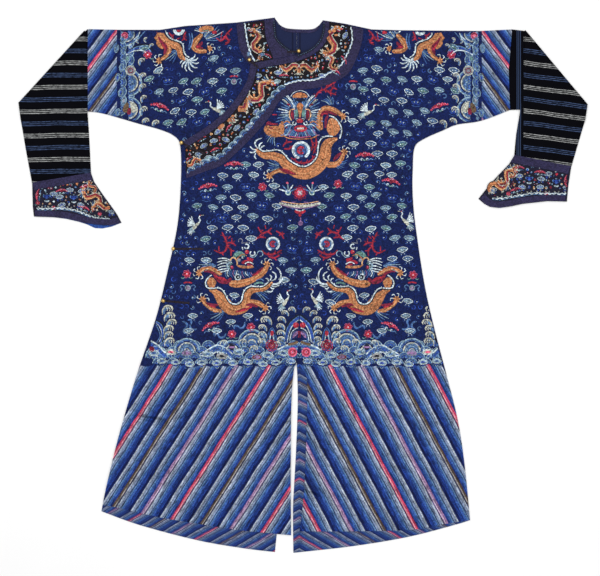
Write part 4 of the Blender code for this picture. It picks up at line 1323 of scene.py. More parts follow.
def curl(s, dyes=("bright", "mid", "bright", "sky")):
    hand, start = chance.choice((-1, 1)), chance.uniform(0, 360)
    s.ring(chance.choice(dyes), 0, 0, 4.8, 0.95, 0, start, hand * 265)
    if chance.random() < 0.55:
        s.disc("white", *turned(0, 0, start + hand * 40, 1.6), 1.3, 0)


def speck(s, dyes):
    # a small bright bit between the larger figures of a band
    dye, angle, kind = chance.choice(dyes), chance.uniform(0, 360), chance.randrange(4)
    if kind == 0:
        s.ring(dye, 0, 0, 3.2, 1.1, 0, angle, 280)
        s.disc("white", 0, 0, 1.2, 1)
    elif kind == 1:
        s.sew(dye, [turned(0, 0, angle + 150, 4.4), turned(0, 0, angle + 80, 1.6), turned(0, 0, angle, 4.4)],
            1.7, 0, step=9)
        s.sew("white", [turned(0, 0, angle + 60, 4), turned(0, 0, angle + 20, 4.8)], 0.9, 0)
    elif kind == 2:
        s.disc(dye, 0, 0, 3.4, 0)
        s.ring("mist", 0, 0, 3.4, 0.8, 1, angle, 250)
    else:
        for k in (-1, 0, 1):
            s.sew(dye, [turned(0, 0, angle, -3), turned(0, 0, angle + 38 * k, 4.6)], 1.1, 0)


def cloudHead(s, centre="mid", edge="mist", body="haze"):
    s.sew(body, [(-16, -1, 2), (-9, 0, 7.5), (0, 1.5, 9.5), (9, 0, 7.5), (16, -1, 2)])
    s.sew(edge, [(-18, -1), (-14.5, 5.5), (-8, 7.5), (0, 11), (8, 7.5), (14.5, 5.5), (18, -1), (13, -6.5),
        (6, -8), (0, -9.5), (-6, -8), (-13, -6.5)], 0.9, 1, closed=True, step=4.5)
    s.sew(centre, [(-10, -1, 1.5), (-4, 0.5, 4), (0, 1, 4.6), (4, 0.5, 4), (10, -1, 1.5)], layer=1)
    s.sew(edge, [(-11, -1), (-7, 3.6), (0, 5.8), (7, 3.6), (11, -1), (5, -4), (0, -4.8), (-5, -4)], 0.6, 2,
        closed=True, step=4)
    for side in (-1, 1):
        s.disc("white", side * 3.2, 0.2, 1.4, 2)


def bat(s):
    # scalloped red wings, edged with pink, over a twist of pale ribbon
    for side in (-1, 1):
        for k in range(4):
            u, v, r = side * (3.5 + 6.2 * k), 3.5 + 1.6 * math.sin(k * 1.3) - 1.2 * k, 5.0 - 0.85 * k
            s.disc("red", u, v, r, 0)
            s.ring("pink", u, v, r * 0.86, 0.8, 1, -30 if side > 0 else 30, side * 230)
            s.disc("crimson", u, v - 1, r * 0.3, 1)
        s.sew("sky", [(side * 4, -6), (side * 11, -11), (side * 16, -7), (side * 22, -11)], 1.1, 0)
        s.disc("white", side * 2.2, 6.5, 1.1, 3)
        s.ring("white", side * 7, -9, 2.6, 0.8, 1, 0, 280)
    s.sew("crimson", [(0, 8), (0, -5)], 2.2, 2)
    s.sew("pink", [(-3, 10), (0, 7), (3, 10)], 0.8, 2)
    s.sew("green", [(-6, -8), (0, -12), (6, -8)], 1.3, 0)


def crane(s):
    for k in range(6):
        s.sew("white", [(0, 2), turned(0, 2, 100 + 13 * k, 12), turned(0, 2, 92 + 15 * k, 24 - k)], 1.5, 1,
            taper=True)
        s.sew("pale", [(-4, 0), turned(-4, 0, 190 + 11 * k, 10), turned(-4, 0, 196 + 13 * k, 20 - k)], 1.3, 0,
            taper=True)
    s.sew("cream", [(-9, -6, 2), (-3, -2, 4.6), (5, 2, 3.4), (12, 4, 1.6)], layer=1)
    s.sew("white", [(10, 4), (16, 9), (15, 16), (20, 20)], 1.5, 1)
    s.disc("red", 20, 20.5, 1.9, 2)
    s.sew("cream", [(20, 20), (29, 18)], 0.8, 1)
    for k in range(3):
        s.sew("white", [(-8, -6), (-14 - 2 * k, -13 + 2 * k), (-19 - 3 * k, -18 + 4 * k)], 0.9, 0)


def posy(s, petal="red", edge="pink"):
    for k in range(6):
        angle = 60 * k + 12
        s.sew(petal, [turned(0, 0, angle, 2), turned(0, 0, angle, 8)], 3.4, 0)
        s.ring(edge, *turned(0, 0, angle, 7.5), 3.2, 0.6, 1, angle - 110, 220)
    s.disc(edge, 0, 0, 3, 1)
    s.disc("white", 0, 0, 1.4, 2)
    for side in (-1, 1):
        s.sew("green", [(side * 5, -8), (side * 11, -12), (side * 15, -9)], 1.2, 0)


def knot(s):
    s.disc("grey", 0, 0, 7, 0)
    s.ring("pale", 0, 0, 7, 0.8, 1)
    s.ring("mauve", 0, 0, 3.6, 0.9, 1)
    for side in (-1, 1):
        s.sew("sky", [(side * 8, 4), (side * 15, 8), (side * 20, 3), (side * 15, -2), (side * 19, -8)], 1.3,
            0)
    s.sew("red", [(-11, 13), (0, 15), (11, 13)], 1.9, 0)


def coral(s, stems, width=2.0):
    # a branch of flame: every stem throws short tongues to both sides
    for j, stem in enumerate(stems):
        s.sew("crimson", stem, width + 0.9, 0, taper=True)
        s.sew("red", stem, width * 0.55, 1, taper=True)
        line = smoothLine(stem, 8.0)
        for k in range(1, len(line) - 1):
            du, dv = line[k + 1][0] - line[k - 1][0], line[k + 1][1] - line[k - 1][1]
            angle = math.degrees(math.atan2(dv, du)) + (44 if k % 2 else -44)
            tip = turned(*line[k], angle, 6.5)
            s.sew(("red", "crimson")[(j + k) % 2], [line[k], tip,
                turned(*tip, angle + (34 if k % 2 else -34), 3.4)], width * 0.7, 0, taper=True)


def hook(s, u, v, angle, size, hand=1, dye="cream", under="sky"):
    # a curled wave tip: the lip rolls over and drops in three fingers
    a = lambda du, dv: turned(*turned(u, v, angle, du * size), angle + 90 * hand, dv * size)
    s.sew(under, [(*a(-9, -8), 1.2), (*a(-8, -1), 3.0 * size), (*a(-2, 4), 2.4 * size),
        (*a(5, 4), 1.2 * size)], layer=0)
    s.sew(dye, [(*a(-12, -9), 0.6), (*a(-11.5, 0), 1.4 * size), (*a(-4, 8.5), 1.9 * size),
        (*a(7, 8), 1.7 * size), (*a(12, 1), 0.9 * size)], layer=1)
    for k in range(3):
        s.sew(dye, [a(-3 + 5 * k, 6), a(0 + 5 * k, 2.5 - k), a(-2 + 5.2 * k, -1.5 - k)], 0.95 * size, 1)


def rainbow(s, u, v, radius, dyes, start=0.0, sweep=180.0, gapWidth=3.1):
    for k, dye in enumerate(dyes):
        r = radius - k * gapWidth
        if r > 1.5:
            s.ring(dye, u, v, r, gapWidth * 0.46, 0 if k else 1, start, sweep)


def paw(s, u, v, aim, size=1.0):
    s.disc("ink", u, v, 8.5 * size, 0)
    for k in range(5):
        angle = aim - 100 + 50 * k
        tip = turned(u, v, angle, 9.5 * size)
        s.sew("gold", [turned(u, v, angle, 1), tip], 2.1 * size, 1)
        s.sew("white", [tip, turned(*tip, angle - 20, 6.2 * size), turned(*tip, angle - 62, 9.5 * size)],
            1.25 * size, 2, taper=True)
        s.sew("goldLight", [turned(u, v, angle, 5 * size), turned(u, v, angle, 10 * size)], 0.9 * size, 2)
    s.disc("gold", u, v, 4.6 * size, 2)


def beside(points, reach):
    # the same line, moved sideways
    moved = []
    for k, (u, v) in enumerate(points):
        u0, v0 = points[max(k - 1, 0)]
        u1, v1 = points[min(k + 1, len(points) - 1)]
        length = math.hypot(u1 - u0, v1 - v0)
        moved.append((u - (v1 - v0) / length * reach, v + (u1 - u0) / length * reach))
    return moved


def spine(s, points, side):
    # a pale ridge along the body, a dark line under it and spikes on its far side
    line = smoothLine(points, 5.0)
    s.sew("ink", beside(line, -side * 1.9), 2.0, 3, step=9)
    s.sew("white", line, 1.5, 4, step=9)
    for k in range(2, len(line) - 2, 3):
        du, dv = line[k + 1][0] - line[k - 1][0], line[k + 1][1] - line[k - 1][1]
        angle = math.degrees(math.atan2(dv, du)) + side * 65
        s.sew("white", [line[k], turned(*line[k], angle, 4.2)], 1.1, 4)


def flesh(s, points, layer=1):
    # a stretch of gilt body with a darker border and a pale and an orange line along it
    s.sew("brown", [(u, v, w + 0.9) for u, v, w in points], layer=layer - 1, gold=False, step=5)
    s.sew("gold", points, layer=layer, step=5)
    line = smoothLine([(u, v) for u, v, w in points], 7.0)
    if len(line) > 4:
        s.sew("goldLight", beside(line, 1.4), 0.7, layer + 1, step=9)
        s.sew("orange", beside(line, -2.4), 0.6, layer + 1, step=9)


def fan(s, u, v, angles, reach, bend=25, dye="white", width=1.3):
    # curved blades spread from one point, the middle ones longest
    for k, angle in enumerate(angles):
        length = reach * (1.0 - 0.09 * abs(k - (len(angles) - 1) / 2))
        bow = turned(u, v, angle - bend * 0.5, length * 0.5)
        s.sew(dye, [(u, v), bow, turned(*bow, angle + bend * 0.3, length * 0.34),
            turned(*bow, angle + bend, length * 0.62)], width, 1, taper=True)
        s.sew("sky", [turned(u, v, angle + 4, length * 0.2), turned(*bow, angle + bend * 0.6, length * 0.3)],
            width * 0.5, 0)


def strands(s, u, v, angles, inner, outer, dyes, bend=12, width=1.15):
    for k, angle in enumerate(angles):
        start = turned(u, v, angle, inner)
        mid = turned(u, v, angle + bend * 0.4, (inner + outer) * 0.5)
        s.sew(dyes[k % len(dyes)], [start, mid, turned(u, v, angle + bend, outer * (0.93 + 0.07 * (k % 3)))],
            width, k % 2, taper=True)


def pearl(s, u, v, radius):
    s.disc("navy", u, v, radius * 0.98, 0)
    s.ring("white", u, v, radius * 0.86, radius * 0.15, 1, -60, 318)
    s.ring("sky", u, v, radius * 0.66, radius * 0.09, 2, -30, 320)
    s.disc("mid", u, v, radius * 0.5, 1)
    s.ring("red", u, v, radius * 0.34, radius * 0.13, 2, 30, 290)
    s.disc("crimson", u, v, radius * 0.17, 2)


def chestDragon(s):
    coral(s, [[(33.8, 128.7), (44.2, 149.5), (59.8, 157.3), (75.4, 149.5), (91, 144.3)],
        [(59.8, 157.3), (72.8, 167.7), (91, 178.1)], [(75.4, 149.5), (83.2, 162.5), (93.6, 157.3)],
        [(67.6, 167.7), (78, 178.1)], [(-75.4, 92.3), (-62.4, 92.3)],
        [(-46.8, 9.1), (-39, 19.5), (-23.4, 22.1)], [(-44.2, 3.9), (-31.2, 3.9), (-20.8, 11.7)],
        [(26, 29.9), (31.2, 11.7), (26, -1.3)], [(39, 35.1), (39, 11.7), (31.2, -9.1)],
        [(-26, -19.5), (-5.2, -32.5), (20.8, -29.9), (36.4, -14.3)]])
    strands(s, 78, 110.5, range(60, 130, 12), 8, 30, ("sky", "mid", "pale"), 24)
    strands(s, -49.4, -40.3, range(150, 215, 12), 8, 38, ("sky", "mid", "pale"), -10)
    strands(s, 93.6, -24.7, range(-110, -20, 16), 8, 26, ("sky", "mid"), 30)
    strands(s, -65, 42.9, range(180, 260, 14), 10, 30, ("sky", "mid", "pale"), 16)
    flesh(s, [(94.6, 30.4, 2.6), (83.2, 26.3, 6.8), (71.5, 19, 11.4), (65, 6.5, 13.5), (62.4, -11.7, 14.8),
        (54.6, -29.9, 16.1), (36.4, -48.1, 16.6), (13, -59, 16.1), (-13, -54.6, 15.6), (-36.4, -37.7, 13),
        (-54.6, -20.5, 10.4), (-75.4, -14.3, 9.6), (-93.6, -13.8, 8.3), (-109.2, -6.5, 5.2),
        (-117, 3.9, 2.1)], 2)
    flesh(s, [(75.4, 82.9, 4.2), (79.6, 75.1, 10.9), (82.7, 64.7, 15.6), (84.2, 53.3, 16.6), (84.8, 45.5, 13),
        (87.1, 37.7, 6.2)])
    flesh(s, [(56.2, 54.9, 4.2), (48.4, 62.1, 8.8), (47.8, 76.7, 7.8), (50.7, 97.5, 6.8), (62.4, 108.9, 6.2),
        (80.6, 106.9, 5.7), (96.2, 98.5, 5.2), (106.6, 89.7, 4.7)])
    flesh(s, [(65, -37.7, 6.2), (78, -37.7, 7.3), (92, -36.1, 6.8), (104, -24.7, 5.5), (110.8, -7.8, 4.4)])
    flesh(s, [(-33.8, -57.2, 6.2), (-54.6, -52.3, 5.2), (-68.9, -56.9, 4.4), (-80.6, -65, 4.4)])
    flesh(s, [(-47.8, 75.1, 2.6), (-49.4, 66.3, 5.7), (-52, 55.9, 8.8), (-54.6, 43.9, 9.9)])
    flesh(s, [(-90, 64.7, 5.2), (-86.8, 55.9, 10.4), (-77, 49.1, 14), (-64, 48.1, 14.6), (-53, 43.9, 9.4),
        (-43.2, 36.7, 3.1)])
    s.sew("orange", [(-80.6, 60.1), (-67.6, 50.7), (-67.6, 37.7)], 0.8, 3)
    spine(s, [(72.8, 89.7), (85.8, 85.5), (96.2, 75.1), (104, 61.1), (105, 45.5), (100.1, 29.9)], -1)
    spine(s, [(83.2, 35.6), (67.6, 36.7), (53.3, 30.9), (45.8, 16.9), (44.2, 1.3), (40.6, -16.9),
        (31.2, -29.9), (15.6, -40.3), (0, -41.9), (-15.6, -35.1), (-31.2, -24.7), (-41.6, -11.7),
        (-53.3, -1.3), (-62.4, 1.3), (-80.6, -1.3), (-100.1, -1.8), (-110.2, 7.5)], -1)
    s.sew("crimson", [(50.7, 87.1, 2.6), (58.5, 97.5, 4.2), (72.8, 99.1, 3.6), (93.6, 90.7, 2.1)], layer=3)
    s.sew("red", [(52, 88.4, 1.6), (59.8, 95.9, 2.1), (70.2, 93.3, 1.3)], layer=4)
    s.sew("crimson", [(70.2, 90.7, 2.1), (65, 79.3, 3.4), (63.4, 57.5, 2.3)], layer=3)
    s.sew("crimson", [(84.5, -27.3, 2.6), (93.6, -15.6, 4.4), (105.6, -6.5, 2.1)], layer=3)
    s.sew("crimson", [(-55.9, -47.1, 1.6), (-44.2, -53.3, 3.9), (-28.6, -58.5, 3.4), (-13, -62.7, 2.1)],
        layer=3)
    s.sew("red", [(-46.8, -48.1, 1), (-31.2, -53.3, 1.8), (-18.2, -61.1, 1)], layer=4)
    s.sew("crimson", [(-89.7, 63.7, 2.6), (-84.5, 71.5, 3.6), (-75.4, 67.9, 3.1), (-59.8, 67.9, 1.8)],
        layer=3)
    s.sew("red", [(-80.6, 67.9, 1.3), (-65, 67.3, 1.6)], layer=4)
    s.sew("crimson", [(-83.2, 58.5), (-72.8, 56.4)], 1.8, 3)
    paw(s, 108.2, 88.1, 0, 1.0)
    paw(s, 111.8, -4.9, 60, 1.0)
    paw(s, -81.6, -66.3, 220, 1.0)
    for blade in ([(-111.8, 3.9), (-119.6, 16.9), (-114.4, 26.3), (-101.4, 31.5)],
            [(-109.2, 2.9), (-107.6, 14.3), (-99.8, 20.5)], [(-106.6, 1.3), (-101.4, 9.1), (-93.6, 11.7)],
            [(-114.4, 0), (-124.8, 2.6), (-132.6, 10.4)], [(-117, -2.6), (-126.1, -6.5), (-133.9, -3.9)],
            [(-117, -6.5), (-120.6, -15.9), (-115.7, -23.1)]):
        s.sew("white", blade, 1.8, 3, taper=True)
    # the face, seen from the front
    for layer, (reach, wide) in enumerate(((60, 1.7), (50, 1.4), (38, 1.2))):
        for side in (-1, 1):
            strands(s, -2.6, 87.1, range(90 - side * (8 + 3 * layer), 90 - side * 138, -side * 8), 18, reach,
                ("sky", "beard", "white", "mid", "pale"), -side * (6 + 5 * layer), wide)
    s.sew("navy", [(-26, 115.7, 7.8), (-23.4, 100.1, 13), (-18.2, 74.1, 13), (-2.6, 55.9, 18.2),
        (13, 74.1, 13), (18.2, 100.1, 13), (20.8, 115.7, 7.8)], layer=1)
    for k in range(-9, 10):
        s.sew(("sky", "beard", "mid", "mist", "mauve")[k % 5], [(k * 3.6 - 2.6, 54),
            (k * 4.9 - 2.6, 44 - abs(k) * 0.5), (k * 5.3 - 2.6 + (3 if k > 0 else -3), 33 + abs(k) * 0.8)],
            1.5, 1 + k % 2)
    s.sew("gold", [(-46.8, 40.3), (-33.8, 31.7), (-2.6, 28.9), (28.6, 31.7), (44.2, 40.3)], 1.4, 2)
    s.sew("pink", [(-31.2, 36.1), (-2.6, 33.5), (26, 36.1)], 0.9, 3)
    s.sew("gold", [(-2.6, 123.5, 4.7), (-2.6, 115.7, 8.8), (-2.6, 106.9, 6.8), (-2.6, 94.9, 3.1),
        (-2.6, 84.5, 2.6)], layer=3)
    s.sew("orange", [(-6.8, 120.9), (-5.7, 107.9)], 0.9, 4)
    s.sew("orange", [(1.6, 120.9), (0.5, 107.9)], 0.9, 4)
    s.sew("gold", [(-22.4, 137.5, 2.3), (-13, 141.7, 5.7), (-2.6, 142.7, 7.3), (7.8, 141.7, 5.7),
        (17.2, 137.5, 2.3)], layer=2)
    s.sew("white", [(-27, 139.1), (-18.2, 150), (-2.6, 155), (13, 150), (21.8, 139.1)], 0.9, 2)
    s.sew("orange", [(-19.2, 141.7), (-2.6, 146.4), (14, 141.7)], 0.9, 3)
    s.sew("ink", [(-14.6, 131.3), (-2.6, 128.7), (9.4, 131.3)], 2.4, 2)
    for side in (-1, 1):
        a = lambda du, dv: (du * side * 2.6 - 2.6, dv * 2.6 + 84.5)
        for k in range(3):
            s.sew(("white", "sky", "cream")[k], [a(5.5 + 2 * k, 9 + k), a(8 + 2.4 * k, 15),
                a(12 + 2.2 * k, 20 - k), a(15 + 1.4 * k, 22.5 - 2.4 * k)], 1.3, 3, taper=True)
        s.sew("crimson", [a(9, 12), a(13, 14)], 2.6, 3)
        s.sew("goldLight", [a(5, 8.4), a(9.4, 7.6), a(10.6, 2), a(8.4, -3)], 1.4, 4)
        s.sew("crimson", [(*a(7.4, 7.4), 1.6), (*a(7.8, 3), 4.6), (*a(6.8, -1.8), 2.0)], layer=3)
        s.sew("red", [a(8.2, 5.6), a(8.2, 1)], 1.4, 4)
        s.sew("green", [(*a(3.4, 8), 2.2), (*a(3.6, 4.5), 4.6), (*a(3, 0.6), 2.6)], layer=3)
        s.sew("mist", [a(5.6, 7.6), a(5.2, 3), a(5, -1)], 0.9, 4)
        s.disc("white", *a(3, -1.6), 3.2, 4)
        s.disc("ink", *a(3, -1.6), 2.4, 5)
        s.disc("ink", *a(7.6, -6.2), 5, 2)
        s.sew("gold", [a(10, -5), a(13.4, -3.6), a(16, -5)], 1.8, 2)
        s.ring("white", *a(5.6, -5.6), 4.4, 1.3, 4, 90, -side * 300)
        s.ring("sky", *a(10, -9), 4.8, 1.2, 3, 0, 300)
        s.sew("crimson", [a(12.4, -9.5), a(14.4, -10)], 2.0, 3)
        s.sew("white", [a(7, -7.6), a(11, -6.6), a(15.4, -9)], 1.0, 4)
    s.sew("red", [(-10.9, 73.6, 2.9), (-2.6, 76.7, 5.7), (5.7, 73.6, 2.9)], layer=5)
    s.sew("flesh", [(-5.2, 78.3), (0, 78.3)], 1.2, 6)
    s.ring("red", -1.6, 56.2, 15, 2.2, 4, 0, 360, 0.44)
    s.sew("flesh", [(-10.4, 55.9), (7.8, 55.9)], 4.0, 3)
    s.sew("white", [(-10.4, 57.5), (-1.3, 56.2), (7.8, 57.5)], 1.2, 5)
    pearl(s, 0, 0, 23.5)


def skirtDragon(s):
    coral(s, [[(-50.7, 104), (-32.5, 96.2), (-19.5, 104), (-16.9, 122.2), (-24.7, 140.4), (-29.9, 150.8)],
        [(-16.9, 114.4), (-6.5, 104), (-6.5, 88.4)], [(-19.5, 122.2), (-3.9, 122.2), (6.5, 114.4)],
        [(-3.9, 122.2), (-3.9, 135.2)], [(-37.7, 101.4), (-37.7, 114.4)], [(-14.3, 132.6), (-6.5, 140.4)],
        [(55.9, 130), (68.9, 137.8), (84.5, 135.2)], [(63.7, 163.8), (74.1, 148.2), (89.7, 150.8),
        (100.1, 143)], [(74.1, 148.2), (66.3, 137.8)], [(89.7, 153.4), (100.1, 161.2)],
        [(84.5, 158.6), (81.9, 169)], [(110.5, 153.4), (123.5, 145.6), (131.3, 132.6)],
        [(118.3, 140.4), (128.7, 150.8)], [(74.1, 104), (84.5, 93.6), (105.3, 93.6), (126.1, 104)],
        [(89.7, 88.4), (105.3, 83.2), (120.9, 91)]])
    strands(s, -42.9, 62.4, range(150, 196, 9), 2, 44, ("sky", "mid", "pale"), 8)
    strands(s, 48.1, 0, range(-34, 10, 9), 6, 46, ("sky", "pale", "mid"), -12)
    strands(s, -19.5, -49.4, range(196, 250, 12), 8, 44, ("sky", "mid", "pale"), -8)
    flesh(s, [(-11.7, 16.9, 6.2), (9.1, 16.1, 9.6), (32.5, 20, 8.3), (53.3, 28.6, 6.8), (71.5, 40.3, 7),
        (83.2, 53.3, 6.2), (87.1, 65, 5.2)])
    flesh(s, [(-29.9, 40.3, 4.7), (-46.8, 49.4, 5.5), (-62.4, 57.2, 6), (-78, 54.6, 5.2), (-87.1, 46.8, 4.9)])
    flesh(s, [(-53.3, 32.2, 4.2), (-55.9, 26, 10.4), (-55.9, 18.2, 12), (-53.3, 12, 10.4), (-49.4, 7.8, 5.2)])
    flesh(s, [(-66.3, 6.5, 2.1), (-58.5, 1, 3.6), (-42.9, -1.3, 4.2)])
    flesh(s, [(-62.4, 0, 2.3), (-48.1, -5.2, 6.8), (-35.1, -18.2, 12.5), (-22.1, -35.1, 15.6),
        (-6.5, -49.4, 14.6), (11.7, -52, 11.7), (28.6, -44.2, 12), (33.8, -28.6, 9.6), (35.9, -14.3, 8.8),
        (46.8, -2.1, 7.5), (63.7, 0.5, 5.7), (79.3, 3.1, 5.2), (92.3, 11.7, 3.9), (101.4, 20.8, 1.6)], 2)
    flesh(s, [(-29.9, -55.9, 4.2), (-49.4, -52, 4.9), (-63.7, -42.9, 4.9), (-75.4, -32.5, 4.7),
        (-79.3, -23.4, 4.4)])
    flesh(s, [(35.1, -33.8, 8.8), (53.3, -32, 6.5), (68.9, -36.4, 6.2), (80.6, -45.5, 4.9)])
    spine(s, [(-55.9, 39), (-66.3, 31.2), (-72.5, 19.5), (-68.9, 7), (-57.2, 4.2), (-36.4, 5.2), (-26, -2.6),
        (-18.5, -15.6), (-11.7, -28.6), (-1.3, -35.9), (13, -35.4), (22.1, -24.7), (25.2, -9.1), (32.5, 3.6),
        (45.5, 9.9), (63.7, 8.8), (78, 10.4), (91, 21.3)], 1)
    s.sew("crimson", [(-76.7, 48.1, 1.8), (-63.7, 48.1, 2.6), (-50.7, 42.9, 3.6), (-42.9, 31.2, 5.2),
        (-29.9, 22.1, 5.7), (-14.3, 22.1, 5.2), (-5.2, 31.2, 3.1)], layer=3)
    s.sew("red", [(-50.7, 37.7, 2.1), (-39, 32.5, 2.6), (-28.6, 29.9, 3.6), (-18.2, 24.7, 2.1)], layer=4)
    s.sew("crimson", [(48.1, 37.7, 1.6), (61.1, 44.2, 3.4), (76.7, 58.5, 2.1)], layer=3)
    s.sew("red", [(53.3, 37.7, 1), (63.7, 44.2, 1.8), (74.1, 53.3, 1)], layer=4)
    s.sew("crimson", [(-71.5, -33.8, 2.1), (-55.9, -39, 4.2), (-39, -39, 2.6)], layer=2)
    s.sew("red", [(-63.7, -40.3, 1.3), (-45.5, -45.5, 1.8)], layer=3)
    s.sew("crimson", [(31.2, -39.5, 1.6), (45.5, -38, 4.2), (63.7, -43.2, 2.1)], layer=3)
    s.sew("red", [(5.2, -57.2, 1.6), (27.3, -52, 2.6), (48.1, -43.7, 1.8)], layer=4)
    s.sew("crimson", [(11.7, -53.3, 1.3), (32.5, -46.8, 2.1)], layer=4)
    paw(s, -88.4, 44.2, 215, 1.0)
    paw(s, 87.1, 66.3, 70, 1.0)
    paw(s, -79.3, -24.7, 120, 1.0)
    paw(s, 81.9, -46.3, -30, 1.0)
    s.sew("green", [(53.3, 14.3), (66.3, 19.5), (78, 16.9)], 2.4, 0)
    s.sew("sky", [(58.5, 24.7), (71.5, 28.6), (79.3, 23.4)], 1.4, 1)
    for blade in ([(100.1, 15.6), (118.3, 19.2), (123.5, 36.4), (119.9, 50.7), (111.8, 58.8)],
            [(98.8, 23.4), (109.5, 29.9), (108.9, 41.6), (100.1, 47.8)],
            [(100.1, 14), (115.7, 15.6), (125.6, 24.7), (128.7, 34.8)],
            [(98.8, 11.4), (107.9, 8.8), (119.9, 13)], [(94.9, 24.7), (98.8, 33.8), (93.9, 39.5)],
            [(92.3, 22.1), (88.4, 29.6), (83.5, 30.2)], [(96.2, 7.8), (101.4, 2.6), (106.6, 5.2)],
            [(87.1, -2.6), (96.2, -4.7), (102.7, -1.6)]):
        s.sew("white", blade, 1.8, 3, taper=True)
    # the head, seen from the side
    for blade in ([(-3.9, 75.4), (-22.1, 82.2), (-40.3, 81.1)], [(-3.9, 71.5), (-22.1, 76.7), (-42.9, 71.5)],
            [(-6.5, 67.6), (-24.7, 70.2), (-41.6, 63.7)], [(-6.5, 61.1), (-24.7, 62.4), (-40.3, 57.2)],
            [(-9.1, 55.9), (-24.7, 54.6), (-42.9, 50.7)], [(-11.7, 52), (-24.7, 48.1), (-37.7, 45.5)]):
        s.sew("ink", blade, 2.6, 0, taper=True)
        s.sew("white", blade, 1.5, 1, taper=True)
    s.sew("mist", [(-9.1, 72.8), (-16.9, 63.7), (-11.7, 53.3)], 2.0, 2)
    s.sew("green", [(-1.3, 70.2), (-10.4, 62.4), (-6.5, 50.7)], 1.0, 2)
    for k in range(15):
        s.sew(("beard", "white", "sky", "mid", "mauve")[k % 5], [(-16 + 4.4 * k, 54 - 0.5 * k),
            (-21 + 4.8 * k, 43), (-17 + 5 * k, 31 + 3 * (k % 3))], 1.3, 1 + k % 2, taper=True)
    s.sew("green", [(1.3, 83.2, 3.6), (7.8, 92, 5.7), (19.5, 93.6, 6.2), (29.9, 87.4, 3.6)], layer=2)
    s.sew("grey", [(9.1, 76.7, 3.6), (19.5, 78, 5.2)], layer=2)
    s.sew("sky", [(5.2, 97.5), (13, 102.4)], 1.3, 3)
    s.sew("goldLight", [(-9.1, 76.7), (-2.3, 84.2), (5.2, 81.6), (10.1, 72.8), (9.1, 64)], 1.7, 3)
    s.sew("gold", [(7.8, 77), (14.3, 85.8), (24.7, 92.6), (35.1, 88.4)], 1.2, 3)
    s.sew("gold", [(7.8, 67.6), (16.9, 60.3), (35.1, 58.2), (53.3, 59.8)], 2.2, 2)
    s.sew("goldLight", [(15.6, 63.4), (35.1, 61.6), (50.7, 62.7)], 0.7, 3)
    s.disc("white", 24.2, 84.8, 2.9, 3)
    s.disc("ink", 25.2, 85.3, 2.0, 4)
    s.sew("crimson", [(20.8, 69.7, 3.1), (32.5, 72.8, 5.2), (50.7, 71.8, 5.2)], layer=1)
    s.sew("red", [(35.1, 83.2, 2.6), (42.9, 80.6, 2.9), (52.3, 79, 1.8)], layer=2)
    s.sew("red", [(23.7, 68.6), (32.5, 76.4), (50.7, 75.4)], 1.5, 2)
    s.sew("white", [(29.9, 67.6), (36.4, 71.8), (44.2, 71.8), (52.8, 66.6)], 1.2, 3)
    s.sew("red", [(35.1, 65.5), (50.7, 64)], 1.2, 2)
    s.disc("red", 35.1, 98.8, 5.2, 2)
    s.disc("flesh", 33, 100.4, 1.8, 3)
    s.ring("white", 34.1, 113.4, 5.8, 1.7, 1, 200, 290)
    s.disc("ink", 37.7, 114.4, 2.2, 0)
    s.ring("white", 49.7, 95.2, 6.2, 1.7, 1, 120, 290)
    s.sew("white", [(24.7, 104), (23.1, 111.8)], 1.4, 2)
    s.sew("mist", [(42.9, 87.4), (53.3, 84.8), (62.4, 93.6)], 1.0, 1)
    s.ring("mist", 69.4, 94.1, 7.4, 1.0, 1, 190, -290)
    s.sew("grey", [(37.7, 123.8), (27.3, 122.2), (20.8, 121.2)], 0.9, 1)
    s.ring("grey", 18.5, 127.9, 5.4, 0.9, 1, -60, 280)
    s.disc("crimson", -3.9, 58.8, 4.8, 3)
    s.disc("pink", -3.9, 59.8, 2.2, 4)
    s.ring("white", 11.7, 33.8, 7.4, 1.5, 3, 60, 330)
    s.disc("ink", 11.7, 33.8, 5.4, 2)
    s.disc("white", 12.7, 33.3, 2.2, 3)
    pearl(s, 102.7, 119.6, 18.5)


